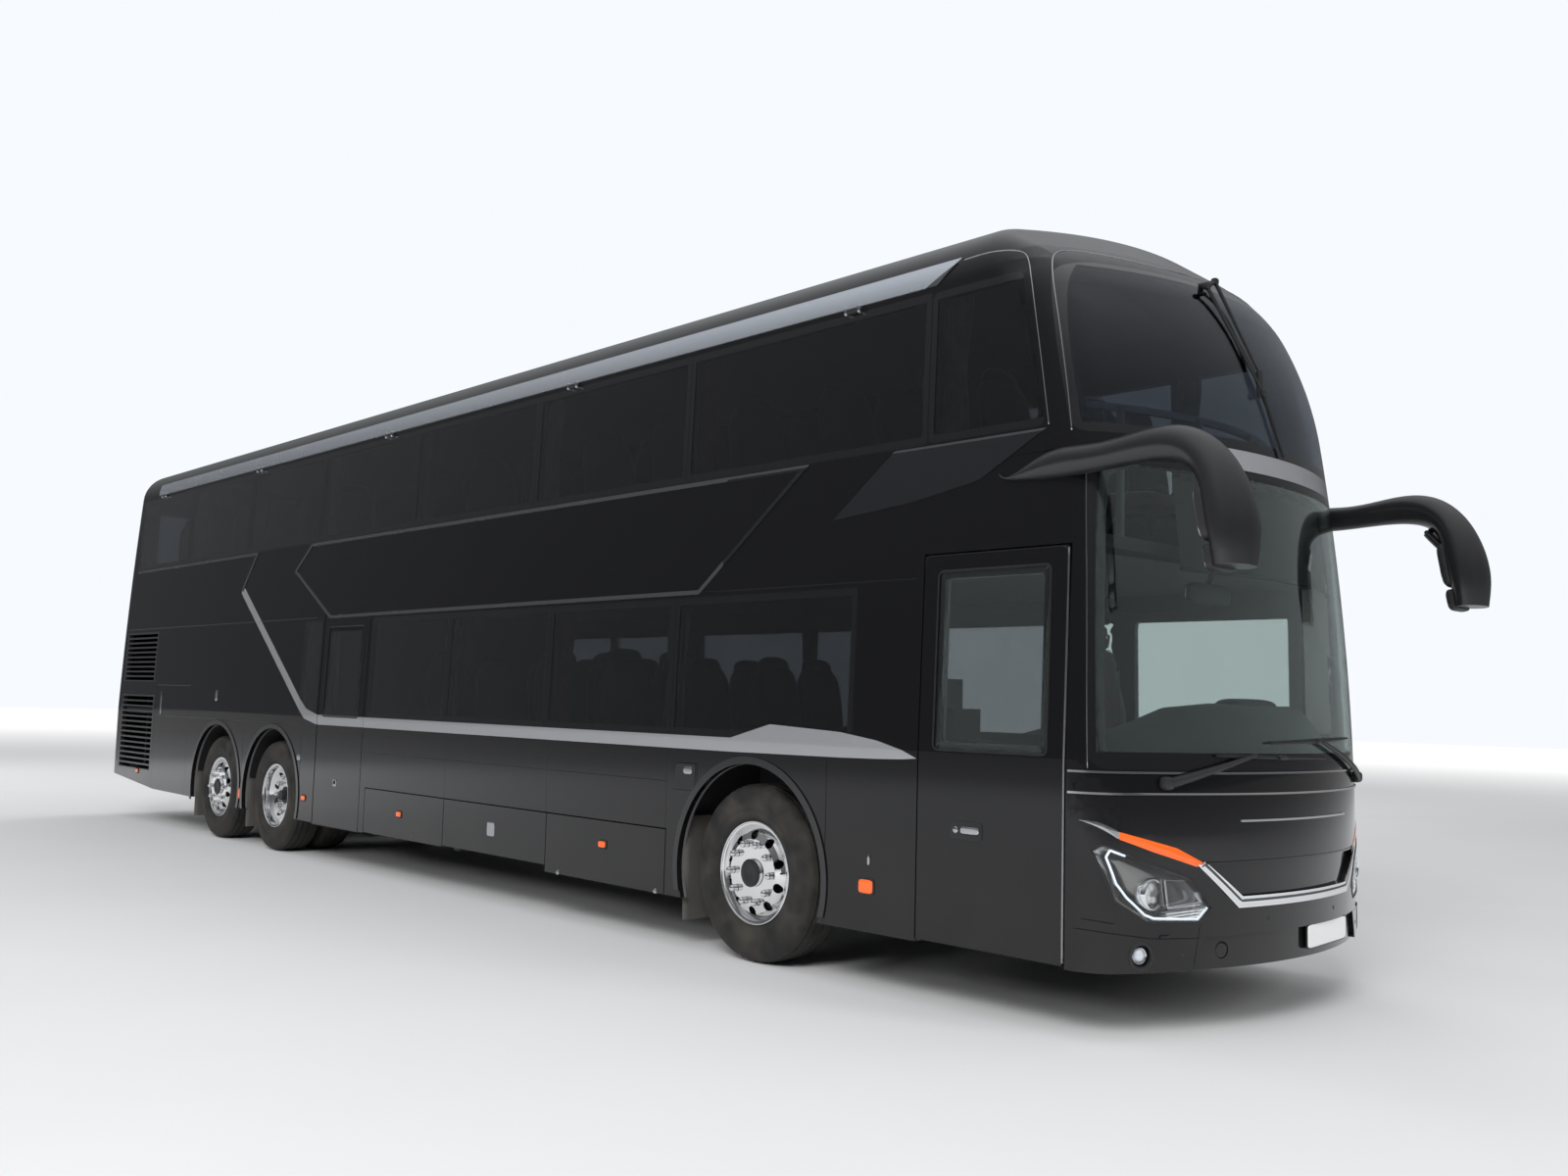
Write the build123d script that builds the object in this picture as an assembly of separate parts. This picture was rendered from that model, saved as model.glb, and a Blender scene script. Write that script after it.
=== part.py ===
"""Double-deck touring coach on three axles, built as separate panels, glass, running gear and doors.

Millimetres. +X points forward, +Y to the coach's left, +Z up. The ground is Z = 0, and the origin is
midway between the rear face and the tips of the mirrors. Places along the coach are written as the
distance behind the front face, and turned into X by along().
"""
from build123d import *
from math import atan2, cos, radians, sin, sqrt
import os

# Overall body
BODY_LENGTH = 14000.0
BODY_WIDTH = 2550.0
BODY_HEIGHT = 4000.0
MIRROR_REACH = 405.0         # how far the mirror heads stand ahead of the front face
FRONT = (BODY_LENGTH - MIRROR_REACH) / 2
REAR = FRONT - BODY_LENGTH
HALF_WIDTH = BODY_WIDTH / 2

# Side wall form
WALL = 50.0                  # thickness of the framed and skinned walls
BELT_Z = 1250.0              # the walls lean in above this height
LEAN = 0.03
EAVES_Z = 3645.0
ROOF_RADIUS = 330.0
SILL_Z = 320.0
REAR_STRAIGHT_Z = 1300.0     # the rear face bows forward above this height
REAR_BOW_RADIUS = 16000.0
REAR_BOW_SWEEP = 11.0        # degrees, past the roof
CORNER_RADIUS = 235.0
REAR_CORNER_RADIUS = 200.0

# Front form: arcs in plan about an upright axis, and a chain of arcs in side view
NOSE_RADIUS = 2450.0
NOSE_STRAIGHT_Z = 700.0
NOSE_ARCS = [                # radius, lean from upright where the arc ends, degrees
    (15744.0, 8.4),
    (1900.0, 26.0),
    (650.0, 55.0),
]
NOSE_RUN_OUT = 420.0

# Seams between panels
DECK_SEAM_Z = 2256.0         # top of the lower side walls
ROOF_SEAM_Z = 3700.0
MASK_SEAM = 506.0            # front mask to side wall
BUMPER_TOP_Z = 460.0
MASK_TOP_Z = 1196.0
SLOT = 8.0                   # gap round doors, flaps and lids

# Glass
GLASS = 8.0
GLASS_LAP = 40.0             # how far a pane laps over its frame
PANE_GAP = 8.0
LOWER_GLASS_Z = (1266.0, 2100.0)
UPPER_GLASS_Z = (2822.0, 3630.0)
LOWER_PANES_RIGHT = [        # front edge, rear edge, behind the front face
    (1872.0, 3431.0),
    (3431.0, 4823.0),
    (4823.0, 6218.0),
    (6218.0, 7500.0),
    (8478.0, 8850.0),
]
LOWER_PANES_LEFT = [
    (660.0, 1800.0),
    (1872.0, 3431.0),
    (3431.0, 4823.0),
    (4823.0, 6218.0),
    (6218.0, 7500.0),
    (7500.0, 8850.0),
]
UPPER_PANES = [
    (1420.0, 3410.0),
    (3410.0, 5150.0),
    (5150.0, 6950.0),
    (6950.0, 8700.0),
    (8700.0, 10350.0),
    (10350.0, 12000.0),
    (12000.0, 13600.0),
]
FRONT_PANE = [(668.0, 2822.0), (1420.0, 2822.0), (1420.0, 3630.0), (842.0, 3630.0)]
LOWER_SCREEN_Z = (1212.0, 2664.0)
LOWER_SCREEN_EDGE = (405.0, 470.0)     # behind the front face, at its foot and at its top
UPPER_SCREEN_Z = (2780.0, 3694.0)
UPPER_SCREEN_EDGE = (535.0, 735.0)
SCREEN_RADIUS = 90.0
REAR_GLASS_Z = (2860.0, 3560.0)
REAR_GLASS_HALF = 980.0

# Axles and wheels
FRONT_AXLE = 2690.0
WHEELBASE = 6700.0
TAG_SPACING = 1350.0
DRIVE_AXLE = FRONT_AXLE + WHEELBASE
TAG_AXLE = DRIVE_AXLE + TAG_SPACING
TYRE_RADIUS = 505.0
TYRE_WIDTH = 296.0
TYRE_SHOULDER = 45.0
RIM_RADIUS = 286.0           # bead seat
FLANGE_RADIUS = 294.0
TYRE_FACE_Y = 1236.0         # outer wall of the outer tyres
TWIN_SPACING = 325.0
DISC_DISH = 12.0             # outer wheels: disc face inside the tyre's wall
DRIVE_DISH = 135.0
HUB_RADIUS = 78.0
HUB_REACH = 16.0
HAND_HOLES = 10
HAND_HOLE_RADIUS = 27.0
HAND_HOLE_PITCH = 214.0
NUTS = 10
NUT_PITCH = 167.5
NUT_RADIUS = 17.0
STUB_RADIUS = 45.0
RUNNING_GAP = 0.05           # radial clearance of a wheel on its stub
ARCH_RADIUS = 617.0
ARCH_LIP = 42.0
KINGPIN_Y = 880.0
KINGPIN_RADIUS = 30.0
BRAKE_RADIUS = 218.0

# Floors, behind the front face and height of the top
FLOOR = 60.0
LOWER_FLOOR_STEPS = [        # from, to, top
    (560.0, 1990.0, 420.0),
    (1990.0, 3400.0, 700.0),
    (3400.0, 8760.0, 420.0),
    (8760.0, 13700.0, 1240.0),
]
WHEEL_BOX_HALF = 700.0
WHEEL_BOX_Y = 555.0
WHEEL_BOX_Z = 1120.0
UPPER_FLOOR_TOP = 2300.0
UPPER_FLOOR_FROM = 420.0
CAB_FLOOR_TOP = 760.0
PODIUM = (3400.0, 7530.0)    # hollow seat podiums of the lower deck, their lockers behind the flaps
PODIUM_Y = 560.0
PODIUM_TOP = 740.0
PODIUM_WALL = 30.0

# Doors: leaf outline behind the front face and heights, swing post side
FRONT_DOOR = (520.0, 1400.0, 322.0, 2240.0)
MIDDLE_DOOR = (7558.0, 8430.0, 322.0, 2140.0)
FRONT_DOOR_GLASS_Z = (1262.0, 2155.0)
MIDDLE_DOOR_GLASS_Z = (1262.0, 2040.0)
DOOR_GLASS_SIDE = 95.0
POST_IN = 65.0               # swing post from the leaf's edge
POST_Y = 1150.0
POST_RADIUS = 20.0
ARM_REACH = 400.0
ARM_DROP = 30.0              # how far out the leaf's pin is from the post
ELBOW = (104.0, 160.0)       # from the post towards the leaf's middle, and inboard
ARM_WIDTH = 32.0
ARM_HEIGHT = 30.0
ARM_Z = (560.0, 1180.0)
POST_FOOT_Z = 380.0          # the post turns in bores in both floors
POST_TOP_Z = 2280.0
POST_GAP = 0.5
PIN_RADIUS = 8.0
LUG = 12.0                   # thickness of the leaf's bracket plates

# Flaps: front edge, rear edge, foot, behind the front face
FLAP_TOP_Z = 690.0
FLAPS = [
    (3440.0, 4745.0, 300.0),
    (4753.0, 6145.0, 345.0),
    (6153.0, 7450.0, 335.0),
]
LID_Z = (560.0, 1500.0)
LID_HALF = 900.0

DOOR_POST_SLOT = 14.0        # wider gap at the edge beside the swing post
STUB_END_Y = 1170.0
YOKE_HALF = 95.0
YOKE = 34.0
SPRING_RADIUS = 120.0
RAIL_Y = 440.0
RAIL = 80.0
RAIL_Z = (1020.0, 1180.0)
TOW_RADIUS = 15.0            # threaded hole for a tow eye, behind a round hole in the bumper
TOW_DEPTH = 70.0
TOW_BOSS = 32.0
TOW_MOUTH = 150.0
TOW_Y = -620.0
TOW_Z = 392.0
TOW_HOLE = 40.0

# Seams of the larger panels, in side view
LOWER_WALL = [(MASK_SEAM, 312), (3400, 300), (8700, 335), (11600, 365), (12500, 372), (13750, 470),
              (13750, DECK_SEAM_Z), (MASK_SEAM, DECK_SEAM_Z)]
UPPER_WALL = [(MASK_SEAM, DECK_SEAM_Z), (13750, DECK_SEAM_Z), (13750, ROOF_SEAM_Z), (800, ROOF_SEAM_Z),
              (610, 2700), (MASK_SEAM, 2600)]
FRONT_FRAME = [(-400, MASK_TOP_Z), (MASK_SEAM, MASK_TOP_Z), (MASK_SEAM, 2600), (610, 2700),
               (800, ROOF_SEAM_Z), (-400, ROOF_SEAM_Z)]
REAR_WALL = [(13750, 470), (14100, 500), (14100, ROOF_SEAM_Z), (13750, ROOF_SEAM_Z)]
TAIL_LAMPS = [               # y, y, foot, top
    (1010.0, 1190.0, 760.0, 1180.0),
    (1010.0, 1190.0, 1230.0, 1420.0),
]

# Inside
SEAT_Y = 690.0
SEAT_PAIR = 900.0
LOWER_SEATS = [4350.0, 5150.0, 5950.0, 6750.0]
UPPER_SEATS = [1500.0 + 790.0 * k for k in range(15)]
STAIR_WELLS = [              # from, to, y, y
    (2000.0, 3250.0, 240.0, 1140.0),
    (7540.0, 8650.0, 240.0, 1140.0),
]
STAIRS = [                   # from, to, y, y, foot, top, steps
    (2020.0, 3240.0, 250.0, 540.0, 700.0, UPPER_FLOOR_TOP - FLOOR, 8),
    (7550.0, 8640.0, 250.0, 1100.0, 420.0, UPPER_FLOOR_TOP - FLOOR, 8),
]
DRIVER = (1560.0, 620.0)
WHEEL_RADIUS = 225.0
STEERING_TILT = 30.0
RAIL_IN = 260.0

# Mirrors: ahead of the front face, height, pitch of the section, side, half depth, half width
MIRROR_SECTIONS = [
    (-935.0, 2612.0, 5.0, 1224.0, 10.0, 24.0),
    (-720.0, 2612.0, 5.0, 1242.0, 46.0, 44.0),
    (-420.0, 2630.0, 4.0, 1258.0, 68.0, 60.0),
    (-100.0, 2650.0, -4.0, 1262.0, 76.0, 66.0),
    (150.0, 2602.0, -28.0, 1255.0, 84.0, 100.0),
    (258.0, 2468.0, -62.0, 1250.0, 88.0, 132.0),
    (309.5, 2280.0, -82.0, 1250.0, 96.0, 150.0),
    (322.5, 2090.0, -88.0, 1250.0, 74.0, 132.0),
]

# Wipers: gap and outer reach off the glass; each has its bands as (y, z) ends, a width and a pivot
WIPER = (8.0, 30.0)
WIPERS = [
    ([((-946, 1154), (-440, 1290)), ((-690, 1276), (215, 1290))], 30.0, (-946, 1154)),
    ([((946, 1154), (180, 1352)), ((-321, 1352), (640, 1352))], 30.0, (946, 1154)),
    ([((60, 3640), (-60, 3122)), ((-150, 3395), (40, 2800))], 26.0, (60, 3640)),
]

# Trim that stands on the skin
TRIM = 8.0
BEAD = 26.0                  # width of the raised beads
REAR_BEAD = [(13560.0, 2812.0), (10060.0, 2812.0), (10372.0, 2440.0), (10400.0, 2456.0), (10112.0, 2788.0),
             (13560.0, 2788.0)]
MIDDLE_BEAD = [(8834.0, 2815.0), (2290.0, 2815.0), (3213.0, 2118.0), (8341.0, 2118.0), (9168.0, 2574.0)]
FIN = [(2081.0, 2480.0), (1640.0, 2812.0), (661.0, 2812.0), (1063.0, 2599.0), (1500.0, 2530.0)]
ROOF_TRIM = [(13100.0, 3662.0), (1387.0, 3662.0), (1244.0, 3786.0), (13100.0, 3786.0)]

# Lamps and front details, as places across the front (Y) and heights
HEADLAMP = [(1247, 849), (1221, 877), (1040, 800), (830, 731), (698, 594), (757, 526), (1041, 536), (1180, 628)]
INDICATOR = [(1269, 982), (1237, 979), (1161, 935), (892, 862), (744, 791), (781, 774), (1010, 846), (1165, 903)]
FOG_LAMP = (1062.0, 385.0, 50.0)
GRILLE_FRAME = [(790, 786), (545, 582), (-545, 582), (-790, 786), (-730, 786), (-520, 634), (520, 634), (730, 786)]
GRILLE_FIELD = [(-730, 786), (-520, 634), (520, 634), (730, 786)]
BUMPER_CENTRE = [(-820, 300), (820, 300), (735, 462), (-735, 462)]
RECESS = 20.0                # how far the grille field and the bumper's middle lie back
LAMP_DEPTH = 30.0
SIDE_GRILLES = [             # front, rear, foot, top, slats
    (12640.0, 13700.0, 560.0, 1390.0, 14),
    (12690.0, 13700.0, 1540.0, 2090.0, 10),
]
SLAT = 12.0


def along(behind):
    """X of a place that is given as the distance behind the front face."""
    return FRONT - behind


def wall_y(height):
    """Half width of the outer skin at a height up to the eaves."""
    return HALF_WIDTH - LEAN * max(0.0, height - BELT_Z)


def block(x0, x1, y0, y1, z0, z1):
    """Box between two corners."""
    size = (abs(x1 - x0), abs(y1 - y0), abs(z1 - z0))
    return Pos((x0 + x1) / 2, (y0 + y1) / 2, (z0 + z1) / 2) * Box(*size)


def side_plate(points, side=0, reach=1500.0, radius=0.0):
    """Outline of (behind, height) points run across the coach: side 1 left, -1 right, 0 both."""
    outline = make_face(Polyline(*[(along(b), z) for b, z in points], close=True))
    if radius:
        outline = fillet(outline.vertices(), radius)
    plate = extrude(Plane.XZ * outline, amount=-reach)
    if side == 1:
        return plate
    if side == -1:
        return mirror(plate, Plane.XZ)
    return plate + mirror(plate, Plane.XZ)


def box_outline(b0, b1, z0, z1):
    """Corners of a rectangle in side view."""
    return [(b0, z0), (b1, z0), (b1, z1), (b0, z1)]


def front_plate(points, deep=MASK_SEAM - 6):
    """Outline of (y, height) points run through the front of the coach."""
    outline = make_face(Polyline(*points, close=True))
    return Pos(FRONT - deep, 0, 0) * extrude(Plane.YZ * outline, amount=deep + 200)


def nose_form(inset):
    """Solid of revolution that gives the front its arcs in plan and in side view."""
    radius = NOSE_RADIUS - inset
    path = [Line((radius, 0), (radius, NOSE_STRAIGHT_Z))]
    lean = 0.0
    for arc_radius, end_lean in NOSE_ARCS:
        at = path[-1] @ 1
        heading = (-sin(radians(lean)), cos(radians(lean)))
        path.append(JernArc(at, heading, arc_radius - inset, end_lean - lean))
        lean = end_lean
    at = path[-1] @ 1
    end = (at.X - NOSE_RUN_OUT * sin(radians(lean)), at.Y + NOSE_RUN_OUT * cos(radians(lean)))
    path.append(Line(at, end))
    path.append(Polyline(end, (0, end[1]), (0, 0), (radius, 0)))
    outline = make_face(path)
    return Pos(FRONT - NOSE_RADIUS, 0, 0) * revolve(Plane.XZ * outline, Axis.Z)


def body_form(inset=0.0):
    """The coach's closed outer form, or the same form further in by inset."""
    half = HALF_WIDTH - inset
    eaves = wall_y(EAVES_Z) - inset
    radius = ROOF_RADIUS - inset
    arc_y = eaves - radius
    rise = BODY_HEIGHT - inset - EAVES_Z
    crown = (arc_y ** 2 + rise ** 2 - radius ** 2) / (2 * (rise - radius))
    crown_z = BODY_HEIGHT - inset - crown
    turn = atan2(EAVES_Z - crown_z, arc_y)
    shoulder = (arc_y + radius * cos(turn), EAVES_Z + radius * sin(turn))
    middle = (arc_y + radius * cos(turn / 2), EAVES_Z + radius * sin(turn / 2))
    foot = SILL_Z - 60
    outline = make_face([
        Polyline((-eaves, EAVES_Z), (-half, BELT_Z), (-half, foot), (half, foot), (half, BELT_Z), (eaves, EAVES_Z)),
        ThreePointArc((eaves, EAVES_Z), middle, shoulder),
        ThreePointArc(shoulder, (0, BODY_HEIGHT - inset), (-shoulder[0], shoulder[1])),
        ThreePointArc((-shoulder[0], shoulder[1]), (-middle[0], middle[1]), (-eaves, EAVES_Z)),
    ])
    form = Pos(REAR, 0, 0) * extrude(Plane.YZ * outline, amount=BODY_LENGTH + 100)
    axis_x = FRONT - NOSE_RADIUS
    form -= block(axis_x, FRONT + 400, -1600, 1600, 0, 4600) - nose_form(inset)
    back = REAR + inset
    bow = JernArc((back, REAR_STRAIGHT_Z), (0, 1), REAR_BOW_RADIUS - inset, -REAR_BOW_SWEEP)
    top = bow @ 1
    rear_cut = make_face([
        Line((back, 0), (back, REAR_STRAIGHT_Z)),
        bow,
        Polyline((top.X, top.Y), (REAR - 100, top.Y), (REAR - 100, 0), (back, 0)),
    ])
    form -= extrude(Plane.XZ * rear_cut, amount=1600, both=True)
    front_edges = [e for e in form.edges() if rises(e) and e.center().X > along(1600)]
    form = fillet(front_edges, CORNER_RADIUS - inset)
    rear_edges = [e for e in form.edges() if rises(e) and e.center().X < REAR + 700]
    return fillet(rear_edges, REAR_CORNER_RADIUS - inset)


def rises(edge):
    """True for an edge that changes height or that crosses the roof."""
    points = [edge @ t for t in (0.0, 0.3, 0.7, 1.0)]
    heights = [p.Z for p in points]
    if min(heights) < SILL_Z - 59 and max(heights) < SILL_Z:
        return False
    along_x = max(p.X for p in points) - min(p.X for p in points)
    across = max(p.Y for p in points) - min(p.Y for p in points)
    if max(heights) - min(heights) > 1.0:
        return along_x < 2500
    return across > 400 and min(heights) > EAVES_Z


def screen_plate(heights, edges, lap=0.0):
    """Region ahead of a windscreen's side edges, its rear corners rounded, less a lap all round."""
    foot, top = heights[0] + lap, heights[1] - lap
    outline = make_face(Polyline((along(-600), foot), (along(edges[0] - lap), foot),
                                 (along(edges[1] - lap), top), (along(-600), top), close=True))
    corners = outline.vertices().sort_by(Axis.X)[:2]
    outline = fillet(corners, SCREEN_RADIUS - lap / 2)
    return extrude(Plane.XZ * outline, amount=1500, both=True)


def pane_outline(pane, heights, lap=0.0):
    """A side pane's rectangle, less half the gap to its neighbours and a lap all round."""
    ends = PANE_GAP / 2 + lap
    return box_outline(pane[0] + ends, pane[1] - ends, heights[0] + lap, heights[1] - lap)


def shrink(points, lap):
    """Outline of the front upper pane with a lap taken off all round."""
    (b0, z0), (b1, z1), (b2, z2), (b3, z3) = points
    return [(b0 + lap * 1.2, z0 + lap), (b1 - lap, z1 + lap), (b2 - lap, z2 - lap), (b3 + lap * 0.8, z3 - lap)]


def layer(outer, inner, region):
    """The part of a region that lies between two closed forms."""
    return (outer & region) - inner


def side_panes(lower_panes):
    """Plates of every fixed pane on one side, at glass size and at frame size, the front one first."""
    glass = [side_plate(shrink(FRONT_PANE, PANE_GAP / 2), -1, radius=40)]
    frame = [side_plate(shrink(FRONT_PANE, GLASS_LAP), -1, radius=25)]
    for panes, heights in ((UPPER_PANES, UPPER_GLASS_Z), (lower_panes, LOWER_GLASS_Z)):
        for pane in panes:
            glass.append(side_plate(pane_outline(pane, heights), -1, radius=12))
            frame.append(side_plate(pane_outline(pane, heights, GLASS_LAP), -1, radius=25))
    return glass, frame


def upright(radius, z0, z1, x=0.0, y=0.0):
    """Round bar standing on its end."""
    return Pos(x, y, (z0 + z1) / 2) * Cylinder(radius, z1 - z0)


def across(radius, y0, y1, x=0.0, z=0.0):
    """Round bar lying across the coach."""
    return Pos(x, (y0 + y1) / 2, z) * Rot(90, 0, 0) * Cylinder(radius, abs(y1 - y0))


def lengthwise(radius, b0, b1, y, z):
    """Round bar lying along the coach between two distances behind the front face."""
    return Pos(along((b0 + b1) / 2), y, z) * Rot(0, 90, 0) * Cylinder(radius, abs(b1 - b0))


def turned(profile, x, y, z, side):
    """Wheel-like solid from an outline of (radius, outboard) points, turned about a line across the coach."""
    outline = make_face(Polyline(*profile, close=True))
    solid = revolve(Plane.XY * outline, Axis.Y)
    if side == -1:
        solid = mirror(solid, Plane.XZ)
    return Pos(x, side * y, z) * solid


def door_parts(door, glass_z, shell, skin, glass_form, post_at_front):
    """Leaf with its window and brackets, its pane, and the swing post with two cranked arms."""
    front, rear, foot, top = door
    leaf_plate = side_plate(box_outline(front, rear, foot, top), -1)
    window = box_outline(front + DOOR_GLASS_SIDE, rear - DOOR_GLASS_SIDE, *glass_z)
    pane = layer(skin, glass_form, side_plate(window, -1, radius=30))
    sight = box_outline(window[0][0] + GLASS_LAP, window[1][0] - GLASS_LAP,
                        glass_z[0] + GLASS_LAP, glass_z[1] - GLASS_LAP)
    leaf = (shell & leaf_plate) - pane - side_plate(sight, -1, radius=20)
    inward = 1 if post_at_front else -1
    post_x, pin_x = door_axes(door, post_at_front)
    elbow = (post_x - inward * ELBOW[0], -POST_Y + ELBOW[1])
    pin_y = -(POST_Y + ARM_DROP)
    post = upright(POST_RADIUS, POST_FOOT_Z, POST_TOP_Z, post_x, -POST_Y)
    for height in ARM_Z:
        for start, end in (((post_x, -POST_Y), elbow), (elbow, (pin_x, pin_y))):
            post += bar(start, end, height)
        post += upright(ARM_WIDTH / 2, height, height + ARM_HEIGHT, *elbow)
        post += upright(ARM_WIDTH / 2, height, height + ARM_HEIGHT, pin_x, pin_y)
        post -= upright(PIN_RADIUS + POST_GAP, height - 1, height + ARM_HEIGHT + 1, pin_x, pin_y)
        skin_y = -(wall_y(height) - WALL)
        for low in (height - POST_GAP - LUG, height + ARM_HEIGHT + POST_GAP):
            lug = block(pin_x - 16, pin_x + 16, skin_y - 2, pin_y, low, low + LUG)
            leaf += lug + upright(16, low, low + LUG, pin_x, pin_y)
        leaf += upright(PIN_RADIUS, height - LUG, height + ARM_HEIGHT + LUG, pin_x, pin_y)
    return leaf, pane, post


def door_axes(door, post_at_front):
    """X of the swing post and of the leaf's pins."""
    front, rear = door[0], door[1]
    if post_at_front:
        return along(front + POST_IN), along(front + POST_IN + ARM_REACH)
    return along(rear - POST_IN), along(rear - POST_IN - ARM_REACH)


def bar(start, end, height):
    """Flat arm between two places in plan, its underside at a height."""
    length = sqrt((end[0] - start[0]) ** 2 + (end[1] - start[1]) ** 2)
    turn = atan2(end[1] - start[1], end[0] - start[0])
    middle = Pos((start[0] + end[0]) / 2, (start[1] + end[1]) / 2, height + ARM_HEIGHT / 2)
    return middle * Rot(0, 0, turn * 180 / 3.141592653589793) * Box(length, ARM_WIDTH, ARM_HEIGHT)


def tyre(x, y_face, side):
    """Tyre with rounded shoulders and three round grooves; y_face is its outer wall."""
    half, r = TYRE_WIDTH / 2, TYRE_RADIUS
    bulge, foot = 10.0, 34.0
    heel = FLANGE_RADIUS + 2
    profile = [(RIM_RADIUS, foot - half), (heel, foot - half), (RIM_RADIUS + 60, -half),
               (r - TYRE_SHOULDER * 2, bulge / 2 - half),
               (r - 14, TYRE_SHOULDER * 0.7 - half), (r, TYRE_SHOULDER * 1.5 - half)]
    for groove in (-50.0, 0.0, 50.0):
        profile += [(r, groove - 6), (r - 12, groove - 4), (r - 12, groove + 4), (r, groove + 6)]
    profile += [(r, half - TYRE_SHOULDER * 1.5), (r - 14, half - TYRE_SHOULDER * 0.7),
                (r - TYRE_SHOULDER * 2, half - bulge / 2), (RIM_RADIUS + 60, half), (heel, half - foot),
                (RIM_RADIUS, half - foot)]
    return turned(profile, x, y_face - half, TYRE_RADIUS, side)


def barrel(y0, y1):
    """Rim section between its two flanges, as (radius, outboard) points."""
    seat = RIM_RADIUS - 0.3
    return [(FLANGE_RADIUS, y0), (FLANGE_RADIUS, y0 + 7.7), (seat, y0 + 7.7), (seat, y1 - 7.7),
            (FLANGE_RADIUS, y1 - 7.7), (FLANGE_RADIUS, y1), (RIM_RADIUS - 14, y1 - 4), (RIM_RADIUS - 16, y0 + 4)]


def rim(x, side, dish, twin=False):
    """Wheel with its barrel, holed disc, hub and nuts; dish is how deep its disc face lies."""
    outer = TYRE_FACE_Y - 34 + 8
    inner = TYRE_FACE_Y - TYRE_WIDTH + 34 - 8
    face = TYRE_FACE_Y - dish
    solid = turned(barrel(inner, outer), x, 0, TYRE_RADIUS, side)
    disc = [(HUB_RADIUS - 5, face - 22), (HUB_RADIUS - 5, face), (190, face), (228, face - 14),
            (252, face - 46), (RIM_RADIUS - 8, face - 60), (RIM_RADIUS - 8, face - 84), (240, face - 70),
            (214, face - 36), (180, face - 22)]
    if twin:
        disc = [(HUB_RADIUS - 5, face - 30), (HUB_RADIUS - 5, face), (196, face), (224, face + 6),
                (248, face + 34), (RIM_RADIUS - 8, face + 60), (RIM_RADIUS - 8, face + 30), (262, face + 6),
                (240, face - 22), (200, face - 30)]
    web = turned(disc, x, 0, TYRE_RADIUS, side)
    for k in range(HAND_HOLES):
        turn = radians(360 / HAND_HOLES * (k + 0.5))
        web -= across(HAND_HOLE_RADIUS, side * (face - 120), side * (face + 60), x + HAND_HOLE_PITCH * cos(turn),
                      TYRE_RADIUS + HAND_HOLE_PITCH * sin(turn))
    solid += web
    hub_in = KINGPIN_Y + 150
    hub = across(HUB_RADIUS, side * hub_in, side * (face + HUB_REACH), x, TYRE_RADIUS)
    hub = hub - across(STUB_RADIUS + RUNNING_GAP, side * (hub_in - 1), side * STUB_END_Y, x, TYRE_RADIUS)
    if twin:
        shift = TWIN_SPACING
        solid += turned(barrel(inner - shift, outer - shift), x, 0, TYRE_RADIUS, side)
        solid += turned([(200, face - 60), (200, face - 30), (RIM_RADIUS - 12, face - 30),
                         (RIM_RADIUS - 12, face - 60)], x, 0, TYRE_RADIUS, side)
        solid += turned([(200, face - 62), (200, face - 2), (190, face - 2), (190, face - 62)], x, 0,
                        TYRE_RADIUS, side)
        solid += turned([(RIM_RADIUS - 16, inner - 60), (RIM_RADIUS - 6, inner - 60), (RIM_RADIUS - 6, inner + 20),
                         (RIM_RADIUS - 16, inner + 20)], x, 0, TYRE_RADIUS, side)
    solid += hub
    for k in range(NUTS):
        turn = radians(360 / NUTS * k)
        solid += across(NUT_RADIUS, side * (face - 5), side * (face + 34), x + NUT_PITCH * cos(turn),
                        TYRE_RADIUS + NUT_PITCH * sin(turn))
    return solid


def knuckle(x, side):
    """Steering knuckle: kingpin, yoke, stub axle and brake shield."""
    z = TYRE_RADIUS
    solid = upright(KINGPIN_RADIUS, z - YOKE_HALF, z + YOKE_HALF, x, side * KINGPIN_Y)
    for low in (z - YOKE_HALF, z + YOKE_HALF - YOKE):
        solid += block(x - 45, x + 45, side * KINGPIN_Y, side * (KINGPIN_Y + 85), low, low + YOKE)
        solid += upright(45, low, low + YOKE, x, side * KINGPIN_Y)
    solid += block(x - 45, x + 45, side * (KINGPIN_Y + 60), side * (KINGPIN_Y + 85), z - YOKE_HALF, z + YOKE_HALF)
    solid += across(STUB_RADIUS, side * (KINGPIN_Y + 60), side * (STUB_END_Y - 5), x, z)
    solid += across(BRAKE_RADIUS, side * (KINGPIN_Y + 85), side * (KINGPIN_Y + 130), x, z)
    solid += block(x - 260, x, side * (KINGPIN_Y + 62), side * (KINGPIN_Y + 84), z - 60, z - 30)
    return solid


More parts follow.
